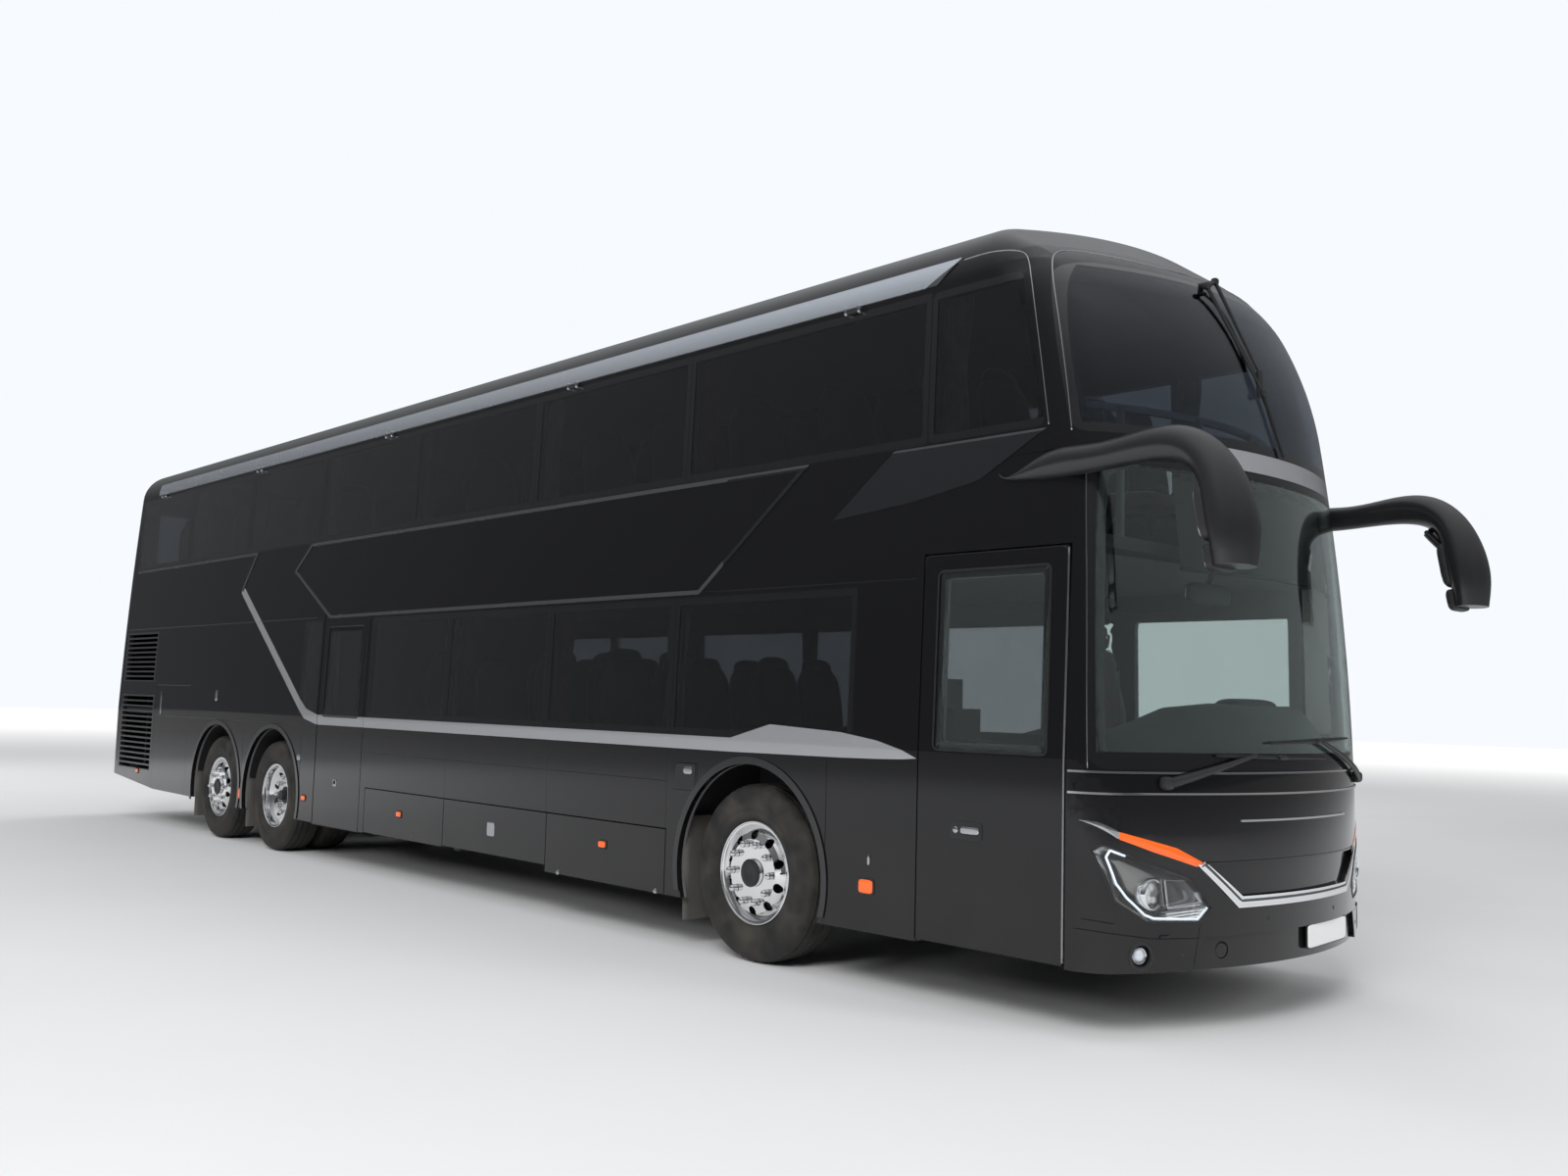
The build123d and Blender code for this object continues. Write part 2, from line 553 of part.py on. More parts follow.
def axle_beams():
    """Front and tag beams with kingpin bosses, the drive axle, and the air springs that carry the body."""
    z = TYRE_RADIUS
    beams = []
    for behind, spring_top in ((FRONT_AXLE, LOWER_FLOOR_STEPS[1][2] - FLOOR), (TAG_AXLE, RAIL_Z[0])):
        x = along(behind)
        beam = block(x - 45, x + 45, -KINGPIN_Y, KINGPIN_Y, z - 55, z + 55)
        for side in (-1, 1):
            beam -= block(x - 60, x + 60, side * (KINGPIN_Y - 5), side * (KINGPIN_Y + 60), z - 80, z + 80)
            beam += upright(45, z - 55, z + 55, x, side * KINGPIN_Y)
            beam -= upright(KINGPIN_RADIUS + RUNNING_GAP, z - 80, z + 80, x, side * KINGPIN_Y)
            beam += upright(SPRING_RADIUS, z + 50, spring_top, x, side * RAIL_Y)
        beams.append(beam)
    x = along(DRIVE_AXLE)
    drive = across(75, -KINGPIN_Y - 85, KINGPIN_Y + 85, x, z)
    drive += across(STUB_RADIUS, -STUB_END_Y + 5, STUB_END_Y - 5, x, z)
    drive += Pos(x, 0, z) * Sphere(215)
    for side in (-1, 1):
        drive += upright(SPRING_RADIUS, z + 50, RAIL_Z[0], x, side * RAIL_Y)
        drive += across(170, side * (KINGPIN_Y + 40), side * (KINGPIN_Y + 85), x, z)
    beams.append(drive)
    return beams


def chassis_frame():
    """Rails and cross members under the floors, and the bumper beams."""
    frame = []
    rails = None
    for side in (-1, 1):
        rail = block(along(8830), along(13690), side * (RAIL_Y - RAIL / 2), side * (RAIL_Y + RAIL / 2), *RAIL_Z)
        rails = rail if rails is None else rails + rail
    for behind in (8900, 10080, 11500):
        rails += block(along(behind), along(behind + 90), -RAIL_Y, RAIL_Y, RAIL_Z[0] + 20, RAIL_Z[1])
    rails += block(along(13640), along(13690), -1000, 1000, RAIL_Z[0] + 20, RAIL_Z[1])
    frame.append(rails)
    lower = None
    for side in (-1, 1):
        rail = block(along(3500), along(8740), side * (RAIL_Y - RAIL / 2), side * (RAIL_Y + RAIL / 2), 290, 360)
        lower = rail if lower is None else lower + rail
    for behind in (3500, 4750, 6100, 7450, 8650):
        lower += block(along(behind), along(behind + 90), -1150, 1150, 300, 360)
    frame.append(lower)
    nose = block(along(620), along(1950), -RAIL_Y - 60, -RAIL_Y + 60, 290, 360)
    nose += block(along(620), along(1950), RAIL_Y - 60, RAIL_Y + 60, 290, 360)
    nose += block(along(620), along(720), -1000, 1000, 300, 360)
    nose += block(along(1850), along(1950), -1000, 1000, 300, 360)
    nose += block(along(720), along(TOW_MOUTH + 40), TOW_Y - 40, TOW_Y + 40, 300, 360)
    nose += block(along(550), along(TOW_MOUTH + 40), TOW_Y - 25, TOW_Y + 25, 350, 375)
    nose += lengthwise(TOW_BOSS, TOW_MOUTH, 550, TOW_Y, TOW_Z)
    nose -= lengthwise(TOW_RADIUS, TOW_MOUTH - 1, TOW_MOUTH + TOW_DEPTH, TOW_Y, TOW_Z)
    frame.append(nose)
    return frame


def lower_floor(inner):
    """Stepped lower floor as separate panels: plates, bulkheads, wheel boxes, cab floor and podiums."""
    wide = 1400
    panels = []
    for index, (b0, b1, top) in enumerate(LOWER_FLOOR_STEPS):
        half = WHEEL_BOX_Y if index == 1 else wide
        start = b0 + FLOOR if index == 3 else b0
        panels.append(block(along(start), along(b1), -half, half, top - FLOOR, top))
    for (b0, b1), at_front in ((FRONT_DOOR[:2], True), (MIDDLE_DOOR[:2], False)):
        door = FRONT_DOOR if at_front else MIDDLE_DOOR
        bore = upright(POST_RADIUS + POST_GAP, 300, 500, door_axes(door, at_front)[0], -POST_Y)
        index = 0 if at_front else 2
        panels[index] = panels[index] - bore
    low, high = LOWER_FLOOR_STEPS[0][2], LOWER_FLOOR_STEPS[1][2]
    panels.append(block(along(1930), along(1990), -WHEEL_BOX_Y, 150, low, high))
    panels.append(block(along(3400), along(3460), -WHEEL_BOX_Y, WHEEL_BOX_Y, low, high))
    panels.append(block(along(8760), along(8820), -wide, wide, low - FLOOR, UPPER_FLOOR_TOP - FLOOR))
    panels.append(block(along(900), along(1980), 150, wide, low, CAB_FLOOR_TOP))
    for side in (-1, 1):
        panels += wheel_box(side, wide) + podium(side, wide, low)
    return [solid for panel in panels for solid in (panel & inner).solids()]


def wheel_box(side, wide):
    """Top, inner wall and end walls of the box over a front wheel; the inner wall is open below."""
    x = along(FRONT_AXLE)
    inner_y, reach, skin = side * WHEEL_BOX_Y, WHEEL_BOX_HALF, 20
    return [
        block(x - reach, x + reach, inner_y, side * wide, WHEEL_BOX_Z, WHEEL_BOX_Z + skin),
        block(x - reach + skin, x + reach - skin, inner_y, inner_y + side * skin, 640, WHEEL_BOX_Z),
        block(x - reach, x - reach + skin, inner_y, side * wide, 360, WHEEL_BOX_Z),
        block(x + reach - skin, x + reach, inner_y, side * wide, 360, WHEEL_BOX_Z),
    ]


def podium(side, wide, low):
    """Top, inner wall and end walls of a seat podium, with the locker inside."""
    x0, x1 = along(PODIUM[0]), along(PODIUM[1])
    inner_y, top = side * PODIUM_Y, PODIUM_TOP - PODIUM_WALL
    wall_end = inner_y + side * PODIUM_WALL
    return [
        block(x0, x1, inner_y, side * wide, top, PODIUM_TOP),
        block(x0, x1, inner_y, wall_end, low, top),
        block(x0, x0 - PODIUM_WALL, wall_end, side * wide, low, top),
        block(x1, x1 + PODIUM_WALL, wall_end, side * wide, low, top),
    ]


def upper_floor(inner):
    """Upper deck floor with its two stair openings and the door post bores."""
    floor = inner & block(along(UPPER_FLOOR_FROM), along(13690), -1400, 1400,
                          UPPER_FLOOR_TOP - FLOOR, UPPER_FLOOR_TOP)
    for b0, b1, y0, y1 in STAIR_WELLS:
        floor -= block(along(b0), along(b1), y0, y1, 2000, 2500)
    for door, at_front in ((FRONT_DOOR, True), (MIDDLE_DOOR, False)):
        post_x = door_axes(door, at_front)[0]
        floor -= upright(POST_RADIUS + POST_GAP, 2000, 2500, post_x, -POST_Y)
    return floor


def staircase(b0, b1, y0, y1, low, high, steps):
    """Closed stair flight that climbs from b0 to b1, behind the front face."""
    rise = (high - low) / steps
    run = (b1 - b0) / steps
    points = [(b0, low)]
    for k in range(steps):
        points += [(b0 + run * k, low + rise * (k + 1)), (b0 + run * (k + 1), low + rise * (k + 1))]
    points += [(b1, high - rise - 120), (b0 + run * 1.6, low)]
    outline = make_face(Polyline(*[(along(b), z) for b, z in points], close=True))
    return Pos(0, y1, 0) * extrude(Plane.XZ * outline, amount=y1 - y0)


def seat_pair(behind, y, floor_z):
    """Two seats side by side on one frame; behind is the foot of their backs."""
    profile = [(0, 330), (0, 430), (-430, 460), (-450, 400), (-420, 345)]
    back = [(0, 360), (-90, 400), (20, 1010), (90, 1090), (130, 1060), (70, 700), (70, 360)]
    x = along(behind)
    seat = None
    for outline in (profile, back):
        face = make_face(Polyline(*[(x - b, floor_z + z) for b, z in outline], close=True))
        form = Pos(0, y + SEAT_PAIR / 2, 0) * extrude(Plane.XZ * face, amount=SEAT_PAIR)
        seat = form if seat is None else seat + form
    seat -= block(x - 200, x + 470, y - 8, y + 8, floor_z + 425, floor_z + 1200)
    seat += block(x + 40, x + 380, y - 120, y - 60, floor_z, floor_z + 350)
    seat += block(x + 40, x + 380, y + 60, y + 120, floor_z, floor_z + 350)
    return seat


def mirror_head(skin, trims, side):
    """Horn-shaped mirror: a chain of oval sections from its root on the side wall to its tip."""
    sections = []
    for ahead, height, pitch, y, half_deep, half_wide in MIRROR_SECTIONS:
        plane = Plane(origin=(FRONT + ahead, side * y, height), x_dir=(0, 1, 0),
                      z_dir=(cos(radians(pitch)), 0, sin(radians(pitch))))
        sections.append(plane * Ellipse(half_wide, half_deep))
    horn = loft([s.faces()[0] for s in sections])
    for solid in (skin, *trims):
        horn -= solid
    return horn


def wiper(far, near, skin, points, width, pivot):
    """Arm and blade that follow the glass, with the pivot that carries them."""
    solid = None
    for start, end in points:
        piece = layer(far, near, front_plate(strip(start, end, width)))
        solid = piece if solid is None else solid + piece
    return solid + layer(far, skin, lengthwise(26, 1000, -200, *pivot))


def strip(start, end, width):
    """Corners of a straight band between two (y, z) places."""
    length = sqrt((end[0] - start[0]) ** 2 + (end[1] - start[1]) ** 2)
    ny = -(end[1] - start[1]) / length * width / 2
    nz = (end[0] - start[0]) / length * width / 2
    return [(start[0] + ny, start[1] + nz), (end[0] + ny, end[1] + nz),
            (end[0] - ny, end[1] - nz), (start[0] - ny, start[1] - nz)]


def ring_plate(radius, lip, behind, side):
    """Flat ring round a wheel arch, above the sill."""
    x = along(behind)
    ring = across(radius + lip, side * 1100, side * 1400, x, TYRE_RADIUS)
    ring -= across(radius, side * 1000, side * 1500, x, TYRE_RADIUS)
    return ring & block(x - 700, x + 700, side * 1050, side * 1450, SILL_Z + 20, 1500)


def side_set(name, shell, skin, glass_form, trim_form):
    """Walls, panes, flaps and trim of one side, worked out on the right and mirrored for the left."""
    right = name == "right"
    panes, holes = side_panes(LOWER_PANES_RIGHT if right else LOWER_PANES_LEFT)
    glass = [layer(skin, glass_form, plate) for plate in panes]
    lower = shell & side_plate(LOWER_WALL, -1)
    upper = shell & side_plate(UPPER_WALL, -1)
    cuts = [across(ARCH_RADIUS, -1600, -400, along(b), TYRE_RADIUS) for b in (FRONT_AXLE, DRIVE_AXLE, TAG_AXLE)]
    cuts.append(side_plate(box_outline(FLAPS[0][0] - SLOT, FLAPS[-1][1] + SLOT, 0, FLAP_TOP_Z + SLOT), -1))
    if right:
        for b0, b1, top in ((MASK_SEAM, FRONT_DOOR[1] + SLOT, FRONT_DOOR[3]),
                            (MIDDLE_DOOR[0] - SLOT, MIDDLE_DOOR[1] + DOOR_POST_SLOT, MIDDLE_DOOR[3])):
            cuts.append(side_plate(box_outline(b0, b1, 0, top + SLOT), -1))
        cuts += [side_plate(box_outline(b0, b1, z0, z1), -1) for b0, b1, z0, z1, count in SIDE_GRILLES]
    for cut in cuts:
        lower -= cut
    for pane, hole in zip(glass, holes):
        if hole.bounding_box().max.Z < DECK_SEAM_Z:
            lower = lower - pane - hole
        else:
            upper = upper - pane - hole
    found = {"side_wall": lower, "upper_wall": upper, "glass": glass, "side_trim": side_trim(skin, trim_form)}
    for number, (b0, b1, foot) in enumerate(FLAPS, 1):
        found[f"flap_{number}"] = shell & side_plate(box_outline(b0, b1, foot, FLAP_TOP_Z), -1)
    if right:
        return found
    return {part: [mirror(s, Plane.XZ) for s in shape] if isinstance(shape, list) else mirror(shape, Plane.XZ)
            for part, shape in found.items()}


def side_trim(skin, trim_form):
    """Raised beads, fin, roof trim and wheel arch lips of the right side."""
    loop = make_face(Polyline(*[(along(b), z) for b, z in MIDDLE_BEAD], close=True))
    ring = loop - offset(loop, -BEAD, kind=Kind.INTERSECTION)
    ring = mirror(extrude(Plane.XZ * ring, amount=-1500), Plane.XZ)
    regions = [ring] + [side_plate(points, -1) for points in (REAR_BEAD, FIN, ROOF_TRIM)]
    trims = [layer(trim_form, skin, region) for region in regions]
    lips = [layer(trim_form, skin, ring_plate(ARCH_RADIUS, ARCH_LIP, behind, -1))
            for behind in (FRONT_AXLE, DRIVE_AXLE, TAG_AXLE)]
    return trims + [lips[0], lips[1] + lips[2]]


def build():
    """Build every part and return them by name."""
    skin = body_form(0)
    inner = body_form(WALL)
    shell = skin - inner
    glass_form = body_form(GLASS)
    trim_form = body_form(-TRIM)
    lamp_form = body_form(LAMP_DEPTH)
    parts = {}

    for name in ("right", "left"):
        for part, shape in side_set(name, shell, skin, glass_form, trim_form).items():
            parts[f"{part}_{name}"] = shape
    for number in range(1, len(FLAPS) + 1):
        for name in ("right", "left"):
            parts[f"flap_{name}_{number}"] = parts.pop(f"flap_{number}_{name}")
    parts["side_trim"] = parts.pop("side_trim_right") + parts.pop("side_trim_left")

    roof = shell & block(REAR - 10, FRONT + 100, -1400, 1400, ROOF_SEAM_Z, 4100)
    parts["roof"] = roof

    lower_screen = layer(skin, glass_form, screen_plate(LOWER_SCREEN_Z, LOWER_SCREEN_EDGE))
    upper_screen = layer(skin, glass_form, screen_plate(UPPER_SCREEN_Z, UPPER_SCREEN_EDGE))
    frame = shell & side_plate(FRONT_FRAME)
    frame = frame - lower_screen - screen_plate(LOWER_SCREEN_Z, LOWER_SCREEN_EDGE, GLASS_LAP)
    frame = frame - upper_screen - screen_plate(UPPER_SCREEN_Z, UPPER_SCREEN_EDGE, GLASS_LAP)
    parts["front_frame"] = frame
    parts["windscreens"] = [lower_screen, upper_screen]

    lamps = []
    for side in (-1, 1):
        for points in (HEADLAMP, INDICATOR):
            lamps.append(layer(skin, lamp_form, front_plate([(side * y, z) for y, z in points])))
    fogs = [layer(skin, lamp_form, lengthwise(FOG_LAMP[2], 700, -200, side * FOG_LAMP[0], FOG_LAMP[1]))
            for side in (-1, 1)]
    mask = shell & side_plate([(-300, BUMPER_TOP_Z), (MASK_SEAM, BUMPER_TOP_Z), (MASK_SEAM, MASK_TOP_Z),
                               (-300, MASK_TOP_Z)])
    bumper = shell & side_plate([(-300, 310), (MASK_SEAM, 310), (MASK_SEAM, BUMPER_TOP_Z), (-300, BUMPER_TOP_Z)])
    for lamp in lamps:
        mask -= lamp
    for fog in fogs:
        bumper -= fog
    bumper -= lengthwise(TOW_HOLE, -100, 300, TOW_Y, TOW_Z)
    recess_form = body_form(RECESS)
    mask -= layer(skin, recess_form, front_plate(GRILLE_FIELD))
    bumper -= layer(skin, recess_form, front_plate(BUMPER_CENTRE))
    parts["front_mask"] = mask
    parts["front_bumper"] = bumper
    parts["front_lamps"] = lamps + fogs
    parts["front_trim"] = [layer(trim_form, skin, front_plate(GRILLE_FRAME))] + [
        layer(trim_form, skin, block(along(MASK_SEAM - 14), FRONT + 100, -half, half, z - 5, z + 5))
        for z, half in ((1200.0, 1400.0), (1104.0, 1400.0), (980.0, 520.0))]

    rear = shell & side_plate(REAR_WALL)
    lid_cut = block(REAR - 50, REAR + 200, -LID_HALF - SLOT, LID_HALF + SLOT, LID_Z[0] - SLOT, LID_Z[1] + SLOT)
    lid = shell & block(REAR - 50, REAR + 120, -LID_HALF, LID_HALF, *LID_Z)
    rear_pane = block(REAR - 50, REAR + 600, -REAR_GLASS_HALF, REAR_GLASS_HALF, *REAR_GLASS_Z)
    rear_glass = layer(skin, glass_form, rear_pane)
    sight = block(REAR - 50, REAR + 600, -REAR_GLASS_HALF + GLASS_LAP, REAR_GLASS_HALF - GLASS_LAP,
                  REAR_GLASS_Z[0] + GLASS_LAP, REAR_GLASS_Z[1] - GLASS_LAP)
    tails = [layer(skin, lamp_form, block(REAR - 50, REAR + 120, side * y0, side * y1, z0, z1))
             for side in (-1, 1) for y0, y1, z0, z1 in TAIL_LAMPS]
    rear = rear - lid_cut - rear_glass - sight
    for tail in tails:
        rear -= tail
    parts["rear_wall"] = rear
    parts["glass_rear"] = rear_glass
    parts["engine_lid"] = lid
    parts["tail_lamps"] = tails

    grilles = []
    for b0, b1, z0, z1, count in SIDE_GRILLES:
        grille = shell & side_plate(box_outline(b0, b1, z0, z1), -1)
        pitch = (z1 - z0 - SLAT) / count
        for k in range(count):
            low = z0 + SLAT + pitch * k
            grille -= side_plate(box_outline(b0 + 25, b1 - 25, low, low + pitch - SLAT * 1.6), -1)
        grilles.append(grille)
    parts["side_grilles"] = grilles

    leaf, pane, arms = door_parts(FRONT_DOOR, FRONT_DOOR_GLASS_Z, shell, skin, glass_form, True)
    parts["front_door"], parts["front_door_glass"], parts["front_door_arms"] = leaf, pane, arms
    leaf, pane, arms = door_parts(MIDDLE_DOOR, MIDDLE_DOOR_GLASS_Z, shell, skin, glass_form, False)
    parts["middle_door"], parts["middle_door_glass"], parts["middle_door_arms"] = leaf, pane, arms

    parts["lower_floor"] = lower_floor(inner)
    parts["upper_floor"] = upper_floor(inner)
    parts["staircases"] = [staircase(*flight) for flight in STAIRS]
    parts["seats_lower"] = [seat_pair(b, side * SEAT_Y, PODIUM_TOP) for b in LOWER_SEATS for side in (-1, 1)]
    parts["seats_lower"].append(driver_seat())
    parts["seats_upper"] = [seat_pair(b, side * SEAT_Y, UPPER_FLOOR_TOP)
                            for b in UPPER_SEATS for side in (-1, 1) if not over_stairs(b, side)]
    parts["dashboard"] = dashboard(inner)
    parts["steering_wheel"] = steering_wheel()
    parts["front_rail"] = front_rail()
    parts["chassis_frame"] = chassis_frame()
    parts["engine"] = engine()
    parts["axle_beams"] = axle_beams()

    parts["wipers"] = [wiper(body_form(-WIPER[1]), body_form(-WIPER[0]), skin, *row) for row in WIPERS]
    parts["mirrors"] = [mirror_head(skin, parts["side_trim"], side) for side in (-1, 1)]

    for side, name in ((-1, "right"), (1, "left")):
        for axle, behind in (("front", FRONT_AXLE), ("drive", DRIVE_AXLE), ("tag", TAG_AXLE)):
            x = along(behind)
            twin = axle == "drive"
            tyres = [tyre(x, TYRE_FACE_Y, side)]
            if twin:
                tyres.append(tyre(x, TYRE_FACE_Y - TWIN_SPACING, side))
            parts[f"tyre_{axle}_{name}"] = tyres
            parts[f"rim_{axle}_{name}"] = rim(x, side, DRIVE_DISH if twin else DISC_DISH, twin)
            if not twin:
                parts[f"knuckle_{axle}_{name}"] = knuckle(x, side)
    return parts


def driver_seat():
    """Single seat on its pedestal on the cab floor."""
    x, y, z = along(DRIVER[0]), DRIVER[1], CAB_FLOOR_TOP
    seat = block(x - 20, x + 480, y - 240, y + 240, z + 360, z + 470)
    seat += block(x - 130, x - 20, y - 230, y + 230, z + 400, z + 1080)
    seat += block(x - 110, x - 40, y - 130, y + 130, z + 1070, z + 1260)
    return seat + upright(110, z, z + 370, x + 230, y)


def over_stairs(behind, side):
    """True where an upper seat would stand over a stair opening."""
    return any(side * SEAT_Y > y0 and side * SEAT_Y < y1 and b0 - 150 < behind < b1 + 620
               for b0, b1, y0, y1 in STAIR_WELLS)


def dashboard(inner):
    """Instrument panel behind the lower windscreen, clear of the front doorway."""
    outline = [(70, 900), (70, 1120), (330, 1210), (720, 1120), (760, 1010), (640, 800), (300, CAB_FLOOR_TOP)]
    panel = side_plate(outline) & block(along(800), FRONT, -480, 1400, 0, 2000) & inner
    stand = block(along(640), along(420), -400, 900, 420, 830) & inner
    column = Pos(along(790), DRIVER[1], 1060) * Rot(0, 60, 0) * Cylinder(38, 160)
    return panel + stand + column


def steering_wheel():
    """Rim, three spokes and boss, leaning back towards the driver."""
    wheel = Torus(WHEEL_RADIUS, 15)
    for turn in (0, 120, 240):
        wheel += Rot(0, 0, turn) * Pos(WHEEL_RADIUS / 2, 0, -4) * Box(WHEEL_RADIUS, 34, 12)
    wheel += Pos(0, 0, -8) * Cylinder(62, 40)
    return Pos(*steering_centre()) * Rot(0, -STEERING_TILT, 0) * wheel


def steering_centre():
    """Middle of the steering wheel."""
    return along(905), DRIVER[1], 1140.0


def front_rail():
    """Two curved rails and their posts behind the upper windscreen."""
    shell = nose_form(RAIL_IN) - nose_form(RAIL_IN + 34)
    rails = None
    for height in (2700.0, 2960.0):
        rail = shell & block(along(1100), FRONT, -1040, 1040, height, height + 34)
        rails = rail if rails is None else rails + rail
    for y in (-760, -260, 260, 760):
        x = FRONT - NOSE_RADIUS + sqrt((NOSE_RADIUS - 420) ** 2 - y ** 2)
        rails += block(x - 15, x + 15, y - 15, y + 15, UPPER_FLOOR_TOP, 2975)
    return rails


def engine():
    """Engine as one plain block with its gearbox ahead of it, hung between the rails."""
    body = block(along(12150), along(13560), -RAIL_Y + RAIL / 2, RAIL_Y - RAIL / 2, 430, 1150)
    return body + block(along(11650), along(12160), -240, 240, 470, 980)


def write(parts):
    """Write each part to its own file."""
    os.makedirs("parts", exist_ok=True)
    for name, shape in parts.items():
        if isinstance(shape, list):
            shape = Compound(children=[solid for item in shape for solid in item.solids()])
        export_step(shape, f"parts/{name}.step")


write(build())
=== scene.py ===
# %% [markdown]
# A double-deck touring coach, dressed for a studio picture.
# The frame below is the coach's construction: panels, glass, floors, wheels and doors, in metres.
# This file gives every surface its finish and adds the pieces that are too fine for the frame.
# Each step says what the real piece is, how it could be made, and why this way was chosen.

# %% Load the frame
from functools import reduce
from math import atan2, cos, pi, radians, sin

import bmesh
import bpy
import numpy as np
from mathutils import Matrix, Vector
from mathutils.bvhtree import BVHTree


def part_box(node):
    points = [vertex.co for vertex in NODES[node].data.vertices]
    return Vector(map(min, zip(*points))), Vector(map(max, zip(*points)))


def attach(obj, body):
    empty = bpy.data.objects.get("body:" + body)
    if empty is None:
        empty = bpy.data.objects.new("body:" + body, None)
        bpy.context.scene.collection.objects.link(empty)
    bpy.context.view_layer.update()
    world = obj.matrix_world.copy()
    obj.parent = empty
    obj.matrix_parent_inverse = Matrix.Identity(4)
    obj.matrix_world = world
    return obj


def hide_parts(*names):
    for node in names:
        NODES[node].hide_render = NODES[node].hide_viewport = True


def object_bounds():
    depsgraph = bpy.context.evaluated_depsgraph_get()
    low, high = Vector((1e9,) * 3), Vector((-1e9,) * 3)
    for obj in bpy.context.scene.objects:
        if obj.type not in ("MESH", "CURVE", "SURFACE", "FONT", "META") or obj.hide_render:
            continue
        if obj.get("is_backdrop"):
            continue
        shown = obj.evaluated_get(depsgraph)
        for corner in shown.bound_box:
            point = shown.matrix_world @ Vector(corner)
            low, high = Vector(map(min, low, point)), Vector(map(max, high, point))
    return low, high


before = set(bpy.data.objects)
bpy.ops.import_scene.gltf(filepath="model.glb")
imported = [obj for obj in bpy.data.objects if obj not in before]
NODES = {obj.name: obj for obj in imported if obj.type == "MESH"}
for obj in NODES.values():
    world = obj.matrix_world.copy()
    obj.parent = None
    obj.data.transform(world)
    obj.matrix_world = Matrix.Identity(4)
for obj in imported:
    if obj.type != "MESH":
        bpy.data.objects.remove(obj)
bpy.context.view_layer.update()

# %% [markdown]
# The coach's own sizes come from the frame, so nothing is typed twice.
# Places along a coach are read from its front face, so along() turns such a distance into X.

# %% Sizes read from the frame
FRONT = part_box("front_mask")[1].x
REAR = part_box("rear_wall")[0].x
HALF_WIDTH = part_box("front_bumper")[1].y
BELT_Z = 1.25
LEAN = 0.03
TYRE_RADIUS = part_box("tyre_front_right")[1].z / 2
TYRE_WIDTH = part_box("tyre_front_right")[1].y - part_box("tyre_front_right")[0].y
SIDES = ((-1, "right"), (1, "left"))


def along(behind):
    """X of a place given as its distance behind the front face."""
    return FRONT - behind


def wall_y(z):
    """Half width of the outer skin: upright up to the belt, then leaning in at a fixed rate."""
    return HALF_WIDTH - LEAN * np.maximum(0.0, np.asarray(z, float) - BELT_Z)


def hub(node):
    """Middle of a wheel, from its tyre's box."""
    low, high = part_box(node)
    return np.array((low + high) / 2)


AXLES = {name: hub(f"tyre_{name}_right")[0] for name in ("front", "drive", "tag")}
print("axles at", {k: round(float(v), 3) for k, v in AXLES.items()})

# %% [markdown]
# The front is a part of a barrel: an arc in plan whose centre line leans back in a chain of arcs,
# with a rounded corner to each side wall. These formulas repeat that form, so that lamps, strips and
# wipers lie on it without any fitting.

# %% The front's form
NOSE_RADIUS = 2.45
CORNER_RADIUS = 0.235
NOSE_STRAIGHT_Z = 0.70
NOSE_ARCS = ((15.744, 8.4), (1.9, 26.0), (0.65, 55.0))


def recede(z):
    """How far the nose has leaned back at a height: a chain of arcs, each tangent to the one before."""
    z = np.asarray(z, float)
    back = np.zeros_like(z)
    start_z, start_back, lean = NOSE_STRAIGHT_Z, 0.0, 0.0
    for radius, end_lean in NOSE_ARCS:
        a, b = radians(lean), radians(end_lean)
        end_z = start_z + radius * (sin(b) - sin(a))
        inside = np.clip(z, start_z, end_z) - start_z
        turn = np.arcsin(np.clip(sin(a) + inside / radius, -1, 1))
        back = np.where(z > start_z, start_back + radius * (cos(a) - np.cos(turn)), back)
        start_back += radius * (cos(a) - cos(b))
        start_z, lean = end_z, end_lean
    return back


def front_x(y, z, proud=0.0):
    """X of the front skin: the nose arc in the middle, a corner arc of its own centre at each side."""
    y, z = np.abs(np.asarray(y, float)), np.asarray(z, float)
    axis_x = FRONT - NOSE_RADIUS
    nose = NOSE_RADIUS - recede(z) + proud
    corner = CORNER_RADIUS + proud
    centre_y = wall_y(z) + proud - corner
    centre_x = np.sqrt((nose - corner) ** 2 - centre_y ** 2)
    touch_y = centre_y * nose / (nose - corner)
    round_x = centre_x + np.sqrt(np.maximum(corner ** 2 - (y - centre_y) ** 2, 0.0))
    return axis_x + np.where(y < touch_y, np.sqrt(np.maximum(nose ** 2 - y ** 2, 0.0)), round_x)


# %% [markdown]
# Shader maths reads best as plain sums. One small class wraps a socket and turns each operator into a
# Math node, so that a mask is written the way it is thought of.

# %% A socket that does sums
def plug(tree, socket, value):
    """Link a wire to a socket, or set the socket to a plain value."""
    if isinstance(value, Wire):
        tree.links.new(value.socket, socket)
    else:
        socket.default_value = value


